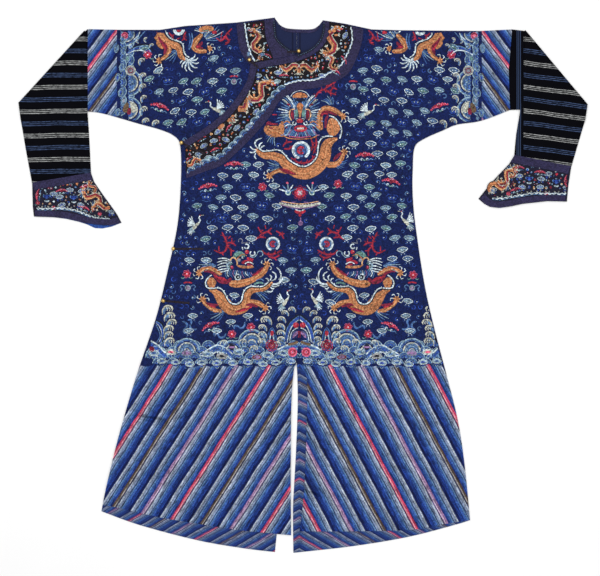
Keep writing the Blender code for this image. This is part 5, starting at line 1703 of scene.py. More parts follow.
def shoulderDragon(s):
    coral(s, [[(122.2, 41.6), (106.6, 23.4), (114.4, 7.8), (104, 0)],
        [(80.6, 18.2), (93.6, 10.4), (106.6, 20.8)], [(96.2, 33.8), (93.6, 13)],
        [(-41.6, 31.2), (-31.2, 18.2), (-33.8, 7.8)], [(2.6, 33.8), (-2.6, 18.2), (5.2, 10.4)],
        [(-23.4, 13), (-10.4, 18.2)]])
    strands(s, 46.8, 13, range(-8, 75, 10), 8, 54, ("sky", "mid", "white", "pale"), 10)
    strands(s, -18.2, -13, range(200, 270, 14), 4, 40, ("sky", "mid", "pale"), -8)
    flesh(s, [(-72.8, 44.2, 14.6), (-68.9, 28.6, 14), (-61.1, 15.6, 12.5), (-48.1, 5.2, 10.9),
        (-33.8, 0, 9.4), (-19.5, -5.2, 8.3), (-13, -16.9, 7.3), (-10.4, -29.9, 6.2), (1.3, -40.3, 3.6)], 2)
    flesh(s, [(-70.2, 10.4, 6.8), (-65, -2.6, 4.7), (-55.9, -10.4, 2.6)])
    flesh(s, [(-41.6, -2.6, 5.7), (-40, -15.6, 5.2), (-48.1, -28.6, 4.4), (-62.4, -40, 3.9)])
    spine(s, [(-52, 44.2), (-48.1, 29.9), (-37.7, 16.9), (-23.4, 10.4), (-10.4, 6.2), (-3.6, -3.9),
        (-2.6, -18.2), (3.9, -28.6), (11.7, -33.8)], 1)
    s.sew("crimson", [(-68.6, 20.8, 1.6), (-59.8, 6.5, 4.7), (-49.4, -7.8, 5.2), (-53.3, -26, 2.3)], layer=3)
    s.sew("red", [(-58.5, 0, 2.1), (-49.4, -13, 2.3)], layer=4)
    paw(s, -66, -41.6, 200, 1.0)
    fan(s, 10.4, -39, (168, 196, 224, 252, 280, 308, 336, 364, 392), 32, 26, "white", 1.6)
    flesh(s, [(45.5, 27.3, 4.2), (36.4, 18.2, 5.7), (26, 5.2, 7.3), (23.4, -7.8, 6.2), (36.4, -16.6, 5.7),
        (57.2, -17.2, 4.2)])
    s.sew("crimson", [(45.5, 7.8, 1.8), (40.3, 0, 4.4), (31.2, -6.2, 3.6), (46.8, -9.4, 2.1)], layer=3)
    s.sew("red", [(30.2, -5.2, 2.6), (41.6, -6.2, 2.6)], layer=4)
    paw(s, 63.7, -10.4, 20, 0.9)
    for side in (0, 1):
        s.sew(("sky", "mid")[side], [(10.4, -13), (16 - side * 5, -4), (20 - side * 6, 12),
            (18 - side * 7, 30)], 1.6, 1)
    for reach in (14, 11.5, 9):
        s.ring("white", -15.6, 39, reach, 1.4, 1, 180, 180)
    s.ring("red", -15.6, 39, 4.4, 2.2, 2, 180, 180)
    for k in range(9):
        s.sew(("white", "sky", "mid")[k % 3], [(46.8, 28.6), turned(46.8, 28.6, 150 - 15 * k, 12),
            turned(46.8, 28.6, 158 - 15 * k, 24)], 1.4, 1, taper=True)
    s.sew("gold", [(36.4, 36.4, 5.2), (54.6, 41.6, 7.8), (75.4, 40.3, 5.2)], layer=2)
    s.sew("green", [(46.8, 35.4), (62.4, 37.4)], 1.4, 3)
    s.disc("white", 62.4, 32.8, 2.2, 3)
    s.sew("red", [(70.2, 31.2, 3.6), (83.2, 32.5, 5.2)], layer=2)


def smallDragon(s):
    # a stout one for the bands: pale gilt edges round a red and gold body
    body = [(-15, -34, 2), (-3, -35, 4.6), (9, -25, 6.4), (9, -11, 7), (-2, -2, 7), (-10, 9, 6.6),
        (-4, 20, 5.4), (4, 25, 3.4)]
    s.sew("ink", [(u, v, w + 2) for u, v, w in body], layer=0)
    s.sew("gold", body, layer=1)
    line = smoothLine([(u, v) for u, v, w in body], 8.0)
    s.sew("crimson", beside(line, -2.6)[1:-1], 2.6, 2, step=9)
    s.sew("red", beside(line, -3.4)[2:-2], 0.9, 3, step=9)
    s.sew("orange", beside(line, 1.2), 0.8, 3, step=9)
    s.sew("goldLight", beside(line, 4.8), 1.1, 3, step=9)
    s.sew("cream", beside(line, -6.8)[1:-1], 0.9, 3, step=9)
    for u, v, aim in ((12, -14, -30), (-13, 4, 160), (-4, -25, 130), (5, 12, 20)):
        s.sew("gold", [(u * 0.4, v), (u, v), turned(u, v, aim, 7)], 2.2, 1)
        for k in (-1, 0, 1):
            s.sew("cream", [turned(u, v, aim, 6), turned(*turned(u, v, aim, 6), aim + 46 * k, 6)], 1.0, 2)
    s.sew("gold", [(-4, 25), (4, 31), (15, 28)], 4.2, 1)
    s.sew("crimson", [(5, 25), (14, 23.5)], 2.4, 2)
    s.sew("white", [(6, 26.4), (14, 25.4)], 0.8, 3)
    s.disc("white", 5, 32, 1.7, 3)
    s.disc("red", 16, 30, 2.4, 3)
    for k in range(5):
        s.sew(("cream", "sky", "white")[k % 3], [(-2, 29), (-11, 31 - 5 * k), (-18, 35 - 8 * k)], 1.3, 1)
    s.ring("white", 17, 34, 3.6, 1.1, 1, 30, 280)
    for k in range(3):
        s.sew("cream", [(-12, -34), (-18, -38 + 6 * k), (-21, -36 + 8 * k)], 1.2, 1)


def vase(s):
    # a blue jar with two handles on a pale dish
    s.sew("bright", [(0, 8, 1.6), (0, 4, 2.2), (0, -2, 4.6), (0, -7, 3.4)], layer=1)
    s.sew("mist", [(-3, 10), (3, 10)], 1.0, 2)
    s.sew("sky", [(-2.6, -2), (0, -4.6), (2.6, -2)], 0.8, 2)
    for side in (-1, 1):
        s.ring("bright", side * 6, 2, 3.4, 1.1, 1, 0, 320)
        s.sew("sky", [(side * 9, 8), (side * 12, 4), (side * 10, -1)], 1.2, 1)
    s.sew("white", [(-8, -12), (-4, -15), (4, -15), (8, -12)], 1.2, 1)
    s.sew("mist", [(-6, -11.6), (6, -11.6)], 0.8, 1)


def centreEmblem(s):
    for side in (-1, 1):
        for k in range(5):
            angle = 20 + 34 * k
            start = (side * 31, 2)
            s.sew(("white", "sky", "pale")[k % 3], [start, (start[0] + side * 14
                * math.cos(math.radians(angle)), 2 + 12 * math.sin(math.radians(angle))),
                (start[0] + side * 25 * math.cos(math.radians(angle)),
                2 + 22 * math.sin(math.radians(angle)))], 1.7, 1, taper=True)
        s.disc("green", side * 31, 1, 8, 0)
        s.ring("white", side * 31, 1, 6, 0.9, 1)
        s.disc("mid", side * 31, 1, 2.4, 2)
        s.sew("pink", [(side * 30, 24), (side * 36, 27)], 2.6, 1)
        s.sew("mauve", [(side * 10, -24), (side * 30, -26), (side * 50, -22)], 1.3, 1)
        s.sew("mid", [(side * 6, -36), (side * 16, -42), (side * 26, -38)], 1.2, 0)
        s.disc("white", side * 8, -44, 1.4, 0)
    for k in range(8):
        s.sew("red", [turned(0, 0, 45 * k, 4), turned(0, 0, 45 * k, 15)], 5.2, 0)
        s.ring("crimson", *turned(0, 0, 45 * k, 14), 5, 0.8, 1, 45 * k - 100, 200)
    s.disc("pink", 0, 0, 8.5, 2)
    for k in range(4):
        s.sew("white", [(0, 0), turned(0, 0, 45 + 90 * k, 7)], 1.6, 3)
    s.sew("cream", [(-54, -26, 2.4), (-30, -33, 3.6), (0, -35.5, 4), (30, -33, 3.6), (54, -26, 2.4)], layer=1)
    s.sew("mauve", [(-50, -31), (-25, -38), (0, -40), (25, -38), (50, -31)], 1.2, 2)
    s.sew("goldLight", [(-48, -22), (0, -29), (48, -22)], 1.1, 2, gold=False)
    for k in range(-6, 7):
        s.disc("white", k * 7.5, -31.5 + abs(k) * 0.7, 1.1, 3)
    s.sew("red", [(-14, -46), (0, -52), (14, -46)], 3.6, 0)
    s.sew("red", [(0, -50), (0, -62)], 3.4, 1)
    s.sew("white", [(-12, -43), (0, -47), (12, -43)], 1.0, 2)
    for k in range(3):
        s.ring("mauve", 1.5, -79, 5.5 - 1.8 * k, 0.8, 1)
    s.sew("mauve", [(1.5, -64), (1.5, -74)], 1.4, 0)


def swell(s, u, v, radius, start=0.0, sweep=180.0, dyes=("mist", "mid", "haze", "bright", "sky", "navy")):
    for k, dye in enumerate(dyes):
        if radius - 3.0 * k > 1.5:
            s.ring(dye, u, v, radius - 3.0 * k, 1.3 if k else 1.0, 0, start, sweep)


def seaHalf(s):
    # rows of rounded waves, then the crests, mounts and cloud heads on them
    for row in range(4):
        for column in range(12):
            u = -14 - 37 * column - (18 if row % 2 else 0)
            v = -18 - 15 * row
            if u > -10 or distanceTo(rightSide, mirrorLine + (u if not s.flip else -u),
                    (-10.4, -143)[1] + v) < 14 and abs(u) > 330:
                continue
            swell(s, u, v, 16.5, 8, 164)
    for u, v, r in ((-292.1, -28.6, 32.5), (-123.1, -7.8, 35.1), (-175.1, -26, 24.7), (-370.1, -44.2, 28.6)):
        s.ring("ink", u, v, r + 1, 1.6, 0, 0, 180)
        rainbow(s, u, v, r, ("mist", "mid", "navy", "cream", "haze", "sky", "mid", "cream"), 0, 180, 3.7)
    for k, dye in enumerate(("white", "mid", "bright", "sky", "white")):
        s.sew(dye, [(-260.9, -39), (-214 + 2 * k, -24 - 4 * k + 10), (-214.1, -13),
            (-214 + 2 * k, -24 - 4 * k + 6)][0:1] + [(-236, -24 - 4.4 * k), (-214, -13 - 4.4 * k),
            (-192, -20 - 4.4 * k), (-174, -36 - 4.4 * k)], 1.7, 0)
    # the middle mount
    for k, (dye, w) in enumerate((("ink", 2.4), ("sky", 1.3), ("bright", 2.6), ("mid", 1.5), ("white", 1.0))):
        d = 2.9 * k
        s.sew(dye, [(-43 + d, -6), (-37 + d, 22), (-26 + d * 0.9, 46 - d * 0.5), (-1.5, 66 - d * 1.15)], w,
            1 if k else 0)
    s.sew("mauve", [(-18, 6, 3), (-12, 16, 5.5), (-4, 22, 4)], layer=1)
    s.sew("white", [(-25, -2), (-20, 20), (-9, 30), (-3, 31)], 1.1, 2)
    s.sew("mid", [(-22, -4), (-17, 14), (-8, 24)], 1.3, 2)
    s.disc("red", -9, 39, 7.4, 2)
    s.disc("pink", -9, 41, 2.4, 3)
    s.sew("brown", [(-30, -12), (-16, -9), (-3, -4)], 3.6, 1)
    s.sew("crimson", [(-2, 24), (-2, 6)], 1.6, 2)
    for k, dye in enumerate(("white", "sky", "bright", "pale", "mid")):
        s.sew(dye, [(-58, -26 - 4 * k), (-34, -14 - 4 * k), (-4, -9 - 4 * k)], 1.8, 0)
    for u, v, size in ((-19.1, 78, 0.8), (-37.3, 68.9, 0.8), (-46.4, 52, 0.9), (-49, 33.8, 0.9),
            (-47.7, 16.9, 0.9), (-46.4, 0, 0.9)):
        hook(s, u, v, 180, size, -1)
    for k in range(3):
        s.ring(("pink", "red", "pink")[k], -17.8, -31.2, 10.5 - 3.6 * k, 1.6, 2)
    # the smaller mount with its flower
    for k, (dye, w) in enumerate((("ink", 2.0), ("mid", 1.5), ("navy", 1.6), ("sky", 1.2), ("white", 0.9))):
        d = 2.2 * k
        s.sew(dye, [(-86 + d, -4), (-83 + d, 16 - d * 0.3), (-71, 34 - d), (-60 - d, 16 - d * 0.3),
            (-57 - d, -4)], w, 1 if k else 0)
    s.sew("red", [(-71, 11, 4.4), (-71, 21, 4), (-71, 25, 2.4)], layer=2)
    for k in range(9):
        angle = 40 * k
        s.sew("crimson", [turned(-72, -14, angle, 3), turned(-72, -14, angle, 11)], 3.8, 1)
        s.ring("red", *turned(-72, -14, angle, 11), 4.2, 0.9, 2, angle - 100, 200)
    for k in range(4):
        s.sew("red", [turned(-72, -14, 45 + 90 * k, 8), turned(-72, -14, 225 + 90 * k, 2)], 0.9, 3)
    for u, v, size in ((-86.7, 49.4, 1.2), (-95.8, 31.2, 0.9), (-95.8, 13, 0.9), (-97.1, -5.2, 0.9)):
        hook(s, u, v, 180, size, -1)
    for u, v, size in ((-58.1, -13, 0.9), (-146.5, -5.2, 0.8), (-195.9, -7.8, 0.8), (-117.9, -23.4, 0.9)):
        hook(s, u, v, 0, size, 1)
    s.disc("ink", -175.1, -18.2, 8, 1)
    s.sew("mauve", [(-182.9, -18.2), (-167.3, -18.2)], 2.6, 2)
    # the side mount with its stack of crests
    for k, (dye, w) in enumerate((("ink", 2.2), ("sky", 1.2), ("bright", 2.6), ("white", 1.0), ("navy", 2.4),
            ("sky", 1.1))):
        d = 4.2 * k
        s.sew(dye, [(-372, 50 - d * 0.4), (-357 - d * 0.35, 44 - d), (-351 - d * 0.5, 20 - d * 0.5),
            (-356 - d * 0.7, -6)], w, 1 if k else 0)
    for u, v, size in ((-341.5, 78, 1.2), (-336.3, 59.8, 1.2), (-331.1, 42.9, 1.1), (-338.9, 27.3, 1.1),
            (-338.9, 11.7, 1), (-336.3, -5.2, 1.1)):
        hook(s, u, v, 4, size, 1)
    for k, dye in enumerate(("white", "mid", "bright", "sky")):
        s.sew(dye, [(-386, -2 - 5 * k), (-366, -14 - 6 * k), (-348, -34 - 5 * k)], 1.9, 1)
    s.disc("crimson", -383.1, -23.4, 7, 2)
    # twists of smoke on the ground above
    for u, v, turn in ((-297.3, 33.8, 104), (-279.1, 39, -52), (-154.3, 36.4, 26), (-138.7, 2.6, -78),
            (-206.3, 13, 0)):
        for reach, dye in ((0, "sky"), (3, "mid")):
            s.sew(dye, [turned(*turned(u, v, turn, du), turn + 90, dv - reach) for du,
                dv in ((-17, 2), (-12, 7), (-5, 4), (-2, -3), (5, -6), (12, -2), (16, 4))], 1.3, 0)
    # two rows of cloud heads
    base = (s.x, s.y, s.flip)
    row1 = (((-41.2, -33.8), "mid", "pale"), ((-81.5, -39), "mid", "pale"),
        ((-110.1, -44.2), "mauve", "crimson"), ((-156.9, -31.2), "sky", "pale"),
        ((-201.1, -41.6), "ink", "grey"), ((-237.5, -36.4), "sky", "pale"),
        ((-292.1, -33.8), "mauve", "mauve"), ((-333.7, -31.2), "pink", "cream"),
        ((-377.9, -33.8), "mid", "pale"))
    row2 = (((-21.7, -54.6), "mid", "sky"), ((-60.7, -58.5), "bright", "pale"),
        ((-94.5, -62.4), "mid", "pale"), ((-133.5, -57.2), "bright", "pale"),
        ((-172.5, -59.8), "mid", "pale"), ((-214.1, -59.8), "bright", "pale"),
        ((-253.1, -58.5), "mid", "pale"), ((-284.3, -62.4), "mid", "pale"),
        ((-320.7, -57.2), "bright", "pale"), ((-357.1, -54.6), "mid", "pale"))
    for row, size in ((row2, 0.68), (row1, 0.78)):
        for (u, v), centre, body in row:
            s.move(base[0] + (-u if base[2] else u), base[1] + v, size, chance.uniform(-5, 5), base[2], 1)
            if body in ("crimson", "mauve", "grey"):
                cloudHead(s, centre, "pale" if body != "grey" else "cream", body)
            else:
                cloudHead(s, centre, "white", body)
            for k in (-1, 1):
                s.ring("sky", k * 14, -12, 4.6, 1.0, 0, 180, 180)
                s.disc("white", k * 15, 10, 1.6, 2)
            s.ring("pale", 0, -14, 6, 1.1, 0, 180, 180)
            s.disc("bright", 0, -13, 3.4, 0)
    s.move(*base[:2], flip=base[2])


def sleeveSea(s):
    for row in range(11):
        for column in range(2):
            u, v = -20 + 20 * column, 118 - 23 * row - (11 if column else 0)
            if v < -108:
                continue
            swell(s, u, v, 16.5, -84, 168)
    for u, v, r in ((2.6, -20.8, 33.8), (2.6, -91, 32.5), (-5.2, 109.2, 33.8)):
        rainbow(s, u, v, r, ("mist", "mid", "navy", "cream", "haze", "mid", "sky"), -90, 180, 3.6)
    s.disc("pink", -7.8, 101.4, 9, 1)
    s.ring("crimson", -7.8, 101.4, 6, 1.4, 2)
    s.disc("grey", 7.8, 10.4, 13, 1)
    s.ring("cream", 7.8, 10.4, 12, 1.2, 2)
    s.ring("crimson", 7.8, 10.4, 6, 1.2, 2)
    s.sew("brown", [(-7.8, -98.8, 8.8), (-3.9, -83.2, 6.8), (0, -72.8, 2.6)], layer=1)
    s.sew("cream", [(15.6, -98.8, 7.8), (13, -83.2, 6.2), (7.8, -70.2, 2.6)], layer=1)
    s.sew("crimson", [(2.6, -104, 5.2), (5.2, -85.8, 4.2)], layer=2)
    for u, v, turn, size in ((7.8, 75.4, 156, 0.4), (26, 88.4, 195, 0.4), (46.8, 91, 156, 0.4),
            (62.4, 75.4, 52, 0.4)):
        hook(s, u, v, turn / 2.6, size * 1.15 + 0.06, 1)
    for k, dye in enumerate(("ink", "sky", "bright", "white")):
        s.sew(dye, [(4 - 3 * k, 60 - 3 * k), (24 - 3 * k, 76 - 5 * k), (52 - 5 * k, 78 - 5 * k),
            (66 - 5 * k, 60 - 2 * k)], 1.5, 0)
    for u, v, size in ((36.4, 33.8, 0.8), (39, -5.2, 0.9), (39, -33.8, 0.9), (41.6, -62.4, 0.8),
            (41.6, -93.6, 1), (46.8, -122.2, 0.9), (72.8, -127.4, 0.9)):
        hook(s, u, v, 30, size, 1)
    s.sew("sky", [(26, 91), (39, 106.6), (46.8, 117), (31.2, 122.2)], 1.2, 1)
    s.sew("white", [(15.6, 91), (28.6, 104), (33.8, 119.6)], 1.0, 1)
    base = (s.x, s.y, s.flip)
    for (u, v), centre in (((-13, 91), "mid"), ((-28.6, 67.6), "sky"), ((-10.4, 62.4), "mid"),
            ((0, 41.6), "green"), ((-15.6, 18.2), "mid"), ((-18.2, -46.8), "bright"),
            ((-10.4, -67.6), "grey"), ((-26, -98.8), "mid"), ((-18.2, -119.6), "sky"),
            ((-26, -7.8), "bright")):
        s.move(base[0] + (-u if base[2] else u), base[1] + v, 0.62, -78 if base[2] else 78, base[2], 1)
        cloudHead(s, centre)
    s.move(*base[:2], flip=base[2])


def scallops(s, line, pitch, reach, side=1, start=0.0):
    # a row of small white scallops along the band's edge
    path = smoothLine(line, 3.0)
    travelled = 0.0
    points = []
    for a, b in zip(path, path[1:]):
        length = math.dist(a, b)
        n = (-(b[1] - a[1]) / max(length, 1e-6) * side, (b[0] - a[0]) / max(length, 1e-6) * side)
        lift = reach * abs(math.sin(math.pi * (travelled + start) / pitch))
        points.append((a[0] + n[0] * (lift + 1.0), a[1] + n[1] * (lift + 1.0)))
        travelled += length
    s.sew("white", points, 1.5, 1, step=3.2)
    s.sew("sky", [(x + 0.8 * side, y + 2.6) for x, y in points], 0.8, 0, step=4)


def curls(s, line, pitch, side=1):
    # crescents of blue with a pale lip, overlapping down the band's edge
    path = smoothLine(line, 3.0)
    reach = [0.0]
    for a, b in zip(path, path[1:]):
        reach.append(reach[-1] + math.dist(a, b))
    count = int(reach[-1] / pitch)
    for k in range(count):
        target = (k + 0.5) * reach[-1] / count
        j = min(range(len(reach)), key=lambda i: abs(reach[i] - target))
        a, b = path[max(j - 1, 0)], path[min(j + 1, len(path) - 1)]
        s.move(*path[j], 1.0, math.degrees(math.atan2(b[1] - a[1], b[0] - a[0])))
        s.sew("navy", [(-12, side * -5), (-4, side * 0.5), (4, side * 0.5), (12, side * -5)], 4.6, 0, step=6)
        s.sew("haze", [(-11, side * -4), (-4, side * 2.2), (4, side * 2.2), (11, side * -3)], 2.0, 1, step=6)
        s.sew("mid", [(-9, side * -7), (0, side * -2.4), (9, side * -7)], 1.1, 1, step=9)
        s.sew("mist", [(-12, side * -2), (-6, side * 4.8), (2, side * 6.6), (9, side * 4), (13, side * -2)],
            1.25, 2, step=6)
        s.ring("white", 9.5, side * -2, 2.6, 0.9, 3, 90, side * -250)
    s.move()


bandInside = onFold(smoothLine(leftNeckInner))[:-1] + [(middle,
    580)] + smoothLine(braidInner)[1:] + smoothLine(braidInnerSlope)[1:]
bandInside += onFold(smoothLine(waveLine))[::-1]
bandDyes = ("red", "crimson", "goldLight", "orange", "gold", "mist", "white", "bright", "mid", "sky", "red",
    "gold")


def fillBand(s, outline):
    # three rounds of bits, each smaller than the last
    spread = Covered()
    spread.mark(s.strokes)
    for pitch, reach, size in ((9.0, 4.0, 1.0), (6.4, 2.9, 0.76), (5.0, 2.0, 0.52)):
        for x, y in freeSpots(spread, outline, pitch, reach, 2.0 + reach * 0.5):
            speck(s.move(x, y, size), bandDyes)
    s.move()


def bandWork():
    s = Needle("leftBandWork", onBand, bandOutline)
    for (x, y), turn, size, flip in (((75.4, 637), -14, 1.1, False), ((72.8, 579.8), 24, 0.66, True),
            ((-36.4, 564.2), 84, 0.78, False), ((15.6, 564.2), -84, 0.78, True),
            ((-106.6, 507), -42, 1.05, False), ((-166.4, 460.2), -48, 1.1, True),
            ((-205.4, 423.8), -58, 0.8, False), ((-283.4, 319.8), -70, 0.6, False)):
        smallDragon(s.move(x, y, size, turn, flip))
    for (x, y), turn in (((-65, 551.2), 0), ((-67.6, 527.8), 10), ((65, 590.2), -30), ((49.4, 543.4), -10),
            ((-137.8, 413.4), 50), ((-148.2, 520), 40), ((-221, 397.8), 40), ((-231.4, 374.4), 10),
            ((-200.2, 377), -20), ((-257.4, 361.4), 30), ((-270.4, 340.6), 10), ((-247, 330.2), 20),
            ((-122.2, 449.8), 50), ((-171.6, 408.2), 40), ((-117, 543.4), 0), ((109.2, 647.4), 60)):
        s.move(x, y, 0.56, turn)
        cloudHead(s, ("mid", "bright", "green")[int(x) % 3], "white")
        s.ring("bright", 0, -13, 5, 1.1, 0, 180, 200)
    for (x, y), turn in (((-85.8, 569.4), 10), ((85.8, 553.8), -30), ((-192.4, 408.2), 50),
            ((-262.6, 379.6), 30), ((106.6, 585), -60), ((-132.6, 478.4), 50), ((-49.4, 543.4), 0),
            ((-299, 325), 40), ((-228.8, 351), 20)):
        bat(s.move(x, y, 0.5, turn))
    s.move()
    split = [p for p in waveLine if p[0] > -60]
    scallops(s, split, 12.0, 2.6, -1)
    curls(s, [p for p in waveLine if p[0] < -40], 21.0, -1)
    fillBand(s, bandInside)
    s.finish()
    s = Needle("rightBandWork", onRightBand, rightBandOutline)
    for (x, y), turn, size, flip in (((-122.2, 637), 8, 0.9, True), ((-101.4, 579.8), 60, 0.55, False)):
        smallDragon(s.move(x, y, size, turn, flip))
    for (x, y), turn in (((-106.6, 598), 20), ((-140.4, 600.6), 60), ((-137.8, 663), 0)):
        s.move(x, y, 0.42, turn)
        cloudHead(s, "mid")
    bat(s.move(-91, 595.4, 0.42, -30))
    s.move()
    scallops(s, rightWave, 12.0, 2.4, 1)
    fillBand(s, [(x + 3, y) for x, y in onFold(smoothLine(rightWave))]
        + onFold(smoothLine(rightEdging))[::-1])
    s.finish()


def cuffWork(name, cuff, dragons, heads, bats, posies, edge, jars):
    s = Needle(name, onCuff(cuff), cuff["edge"] + cuff["front"] + cuff["slant"])
    for (x, y), turn, size, flip in dragons:
        smallDragon(s.move(x, y, size, turn, flip))
    for k, (x, y) in enumerate(heads):
        s.move(x, y, 0.54, chance.uniform(-15, 15))
        cloudHead(s, ("navy", "bright", "mid")[k % 3], "white")
        s.ring("bright", -8, -14, 5, 1.6, 0, 0, 300)
        s.disc("bright", 10, -14, 3.4, 0)
        s.disc("white", 3, -15, 1.8, 1)
    for (x, y), turn in bats:
        bat(s.move(x, y, 0.62, turn))
    for x, y in jars:
        vase(s.move(x, y, 0.8))
    for x, y in posies:
        posy(s.move(x, y, 0.5))
    s.move()
    line = smoothLine(edge, 5.5)
    s.sew("white", [(x, y + (2.6, -0.6, 1.8, -1.4)[k % 4], 1.1 + 0.6 * (k % 2)) for k,
        (x, y) in enumerate(line)], 1.5, 1)
    s.sew("sky", [(x, y - 3.0 + (k % 2)) for k, (x, y) in enumerate(line)], 0.9, 0)
    for k, (x, y) in enumerate(line[1:-1:2]):
        hook(s, x, y + 4, 90, 0.3, 1 if k % 2 else -1)
    fillBand(s, cuff["edge"] + cuff["inside"] + cuff["slant"])
    s.finish()


def makeBorders():
    for side in ("left", "right"):
        s = Needle(side + "Sea", onFront)
        seaHalf(s.move(-9.5, -143, flip=side == "right"))
        s.finish()
        s = Needle(side + "SleeveSea", onFront)
        sleeveSea(s.move(*((-455, 546) if side == "left" else (436.8, 546)), flip=side == "right"))
        s.finish()
    bandWork()
    cuffWork("rightCuffWork", rightCuff, (((-551.2, 231.4), 62, 0.86, False),
        ((-525.2, 205.4), 96, 0.74, True), ((-548.6, 257.4), 36, 0.5, False)),
        ((-631.8, 228.8), (-626.6, 208), (-647.4, 236.6), (-605.8, 247), (-574.6, 244.4), (-577.2, 208),
        (-496.6, 189.8)), (((-626.6, 244.4), 0), ((-689, 234), 80), ((-569.4, 200.2), -20),
        ((-564.2, 254.8), 0)), ((-689, 213.2), (-647.4, 200.2), (-527.8, 184.6)),
        [(-691.6, 197.6), (-663, 197.6), (-631.8, 198.9), (-600.6, 195), (-574.6, 187.2), (-548.6, 176.8),
        (-522.6, 171.6), (-501.8, 171.6)], ((-665.6, 228.8), (-595.4, 226.2)))
    cuffWork("leftCuffWork", leftCuff, (((530.4, 283.4), -40, 0.8, False), ((509.6, 257.4), -80, 0.8, True),
        ((548.6, 296.4), -20, 0.5, False)), ((618.8, 275.6), (569.4, 254.8), (616.2, 254.8), (637, 288.6),
        (561.6, 283.4), (494, 247), (683.8, 252.2)), (((616.2, 292.5), -8), ((551.2, 247), 14),
        ((683.8, 270.4), 90), ((559, 304.2), 0)), ((631.8, 236.6), (486.2, 262.6), (533, 236.6)),
        [(683.8, 236.6), (657.8, 236.6), (629.2, 236.6), (600.6, 237.9), (574.6, 234), (543.4, 228.8),
        (512.2, 223.6), (491.4, 224.9)], ((657.8, 267.8), (587.6, 275.6)))


skirtPlaces = {"left": (-180.7, -13), "right": (163.5, -13)}
shoulderPlaces = {"left": (-306.8, 624), "right": (288.6, 624)}
craneSpots = [((-223.6, 455), 0, True), ((167.7, 447.2), 0, False), ((-279.2, 153.4), 20, False),
    ((267.8, 163.8), -20, True), ((-46.8, -44.2), 30, False), ((31.2, -40.3), -30, True)]
batSpots = [((-247, 254.8), 8), ((228.8, 267.8), -14), ((-371.8, 462.8), -18), ((353.6, 462.8), 18),
    ((-240.5, -106.6), 24), ((226.2, -106.6), -24), ((159.9, 335.4), 0), ((-179.4, 312), 0)]
posySpots = [(-105.3, 254.8), (91, 262.6), (-403, 598), (384.8, 598), (-301.6, 28.6), (286, 26),
    (-135.2, -109.2), (117, -109.2), (-184.6, -127.4), (169, -127.4)]
knotSpots = [(-179.4, 527.8), (130, 514.8), (-299, -7.8), (283.4, -7.8)]


def busy(x, y):
    for (u, v), wide, tall in keepClear:
        if abs(x - u) < wide - 3 and abs(y - v) < tall - 3:
            return True
    return False


# each place that larger motifs take: middle, half width, half height
keepClear = [((-7.8, 436.8), 56, 72), ((2.6, 330.2), 92, 66), ((83.2, 416), 34, 66), ((-117, 351), 36, 30),
    ((-80.6, 403), 30, 34), ((-80.6, 293.8), 26, 22), ((96.2, 338), 30, 34), ((-7.8, 221), 56, 58),
    ((-7.8, 158.6), 12, 20), ((70.2, 512.2), 32, 26), ((-174.2, -18.2), 86, 58), ((-179.4, 59.8), 52, 38),
    ((156, -18.2), 86, 58), ((161.2, 59.8), 52, 38), ((-247, 33.8), 30, 30), ((228.8, 33.8), 30, 30),
    ((-205.4, 101.4), 40, 34), ((187.2, 101.4), 40, 34), ((-85.8, 111.8), 40, 42), ((67.6, 111.8), 40, 42),
    ((-83.2, 13), 34, 50), ((65, 13), 34, 50), ((-358.8, 624), 38, 52), ((340.6, 624), 38, 52),
    ((-288.6, 611), 58, 56), ((270.4, 611), 58, 56), ((-205.4, 644.8), 32, 30), ((182, 642.2), 32, 30),
    ((-223.6, 455), 34, 30), ((167.7, 447.2), 34, 30), ((-279.2, 153.4), 32, 34), ((267.8, 163.8), 32, 34),
    ((-46.8, -44.2), 32, 34), ((31.2, -40.3), 32, 34), ((-247, 254.8), 32, 20), ((228.8, 267.8), 32, 20),
    ((-371.8, 462.8), 34, 22), ((353.6, 462.8), 34, 22), ((159.9, 335.4), 32, 22), ((-179.4, 312), 30, 20),
    ((-105.3, 254.8), 22, 22), ((91, 262.6), 22, 22), ((-403, 598), 22, 20), ((384.8, 598), 22, 20),
    ((-301.6, 26), 26, 22), ((283.4, 26), 26, 22), ((-299, -7.8), 26, 20), ((280.8, -7.8), 26, 20),
    ((-179.4, 527.8), 26, 26), ((130, 514.8), 26, 26), ((-306.8, 98.8), 52, 12), ((-325, -41.6), 44, 12),
    ((-150.8, 91), 30, 24), ((132.6, 91), 30, 24), ((-93.6, 59.8), 24, 24), ((75.4, 59.8), 24, 24),
    ((-260, -39), 24, 26), ((241.8, -39), 24, 26), ((-249.6, 611), 26, 26), ((231.4, 611), 26, 26)]


def clothSpot(x, y, margin=20.0, back=False):
    if y > 480 and abs(x - middle) < (90 if back else 70):
        return False
    # is this a place on the open embroidered ground of the front?
    if y < (-787.8, -70.2)[1] or y > foldLine(x) - margin:
        return False
    if abs(x - mirrorLine) > 404 or (abs(x - mirrorLine) > 300 and y < 400 + 0.28
            * (abs(x - mirrorLine) - 300)):
        return False
    if min(distanceTo(rightSide, x, y), distanceTo(leftSide, x, y)) < margin:
        return False
    if x < -290 and y < 380 and distanceTo(rightSide, x, y) < 42:
        return False
    if abs(x - mirrorLine) > 345 and y < 420:
        return False
    if back:
        return True
    band = distanceTo(outerLine, x, y)
    inBand = -316 < x < 170 and y > heightOn(outerLine[::-1], x) if x < 100 else 100 <= x < 157 and y > 560
    return band > margin - 3 and (not inBand or beyondBand(x, y))


def beyondBand(x, y):
    # the ground above the diagonal band, on the wearer's right
    line = [(-173, 679), (-165, 600), (-145, 565), (-156, 510), (-173, 485), (-223, 431), (-292, 384),
        (-311, 374)]
    return x < -150 and distanceTo(line, x, y) > 20 and y > heightOn(line[::-1], x) and (x < -173 or y < 560)


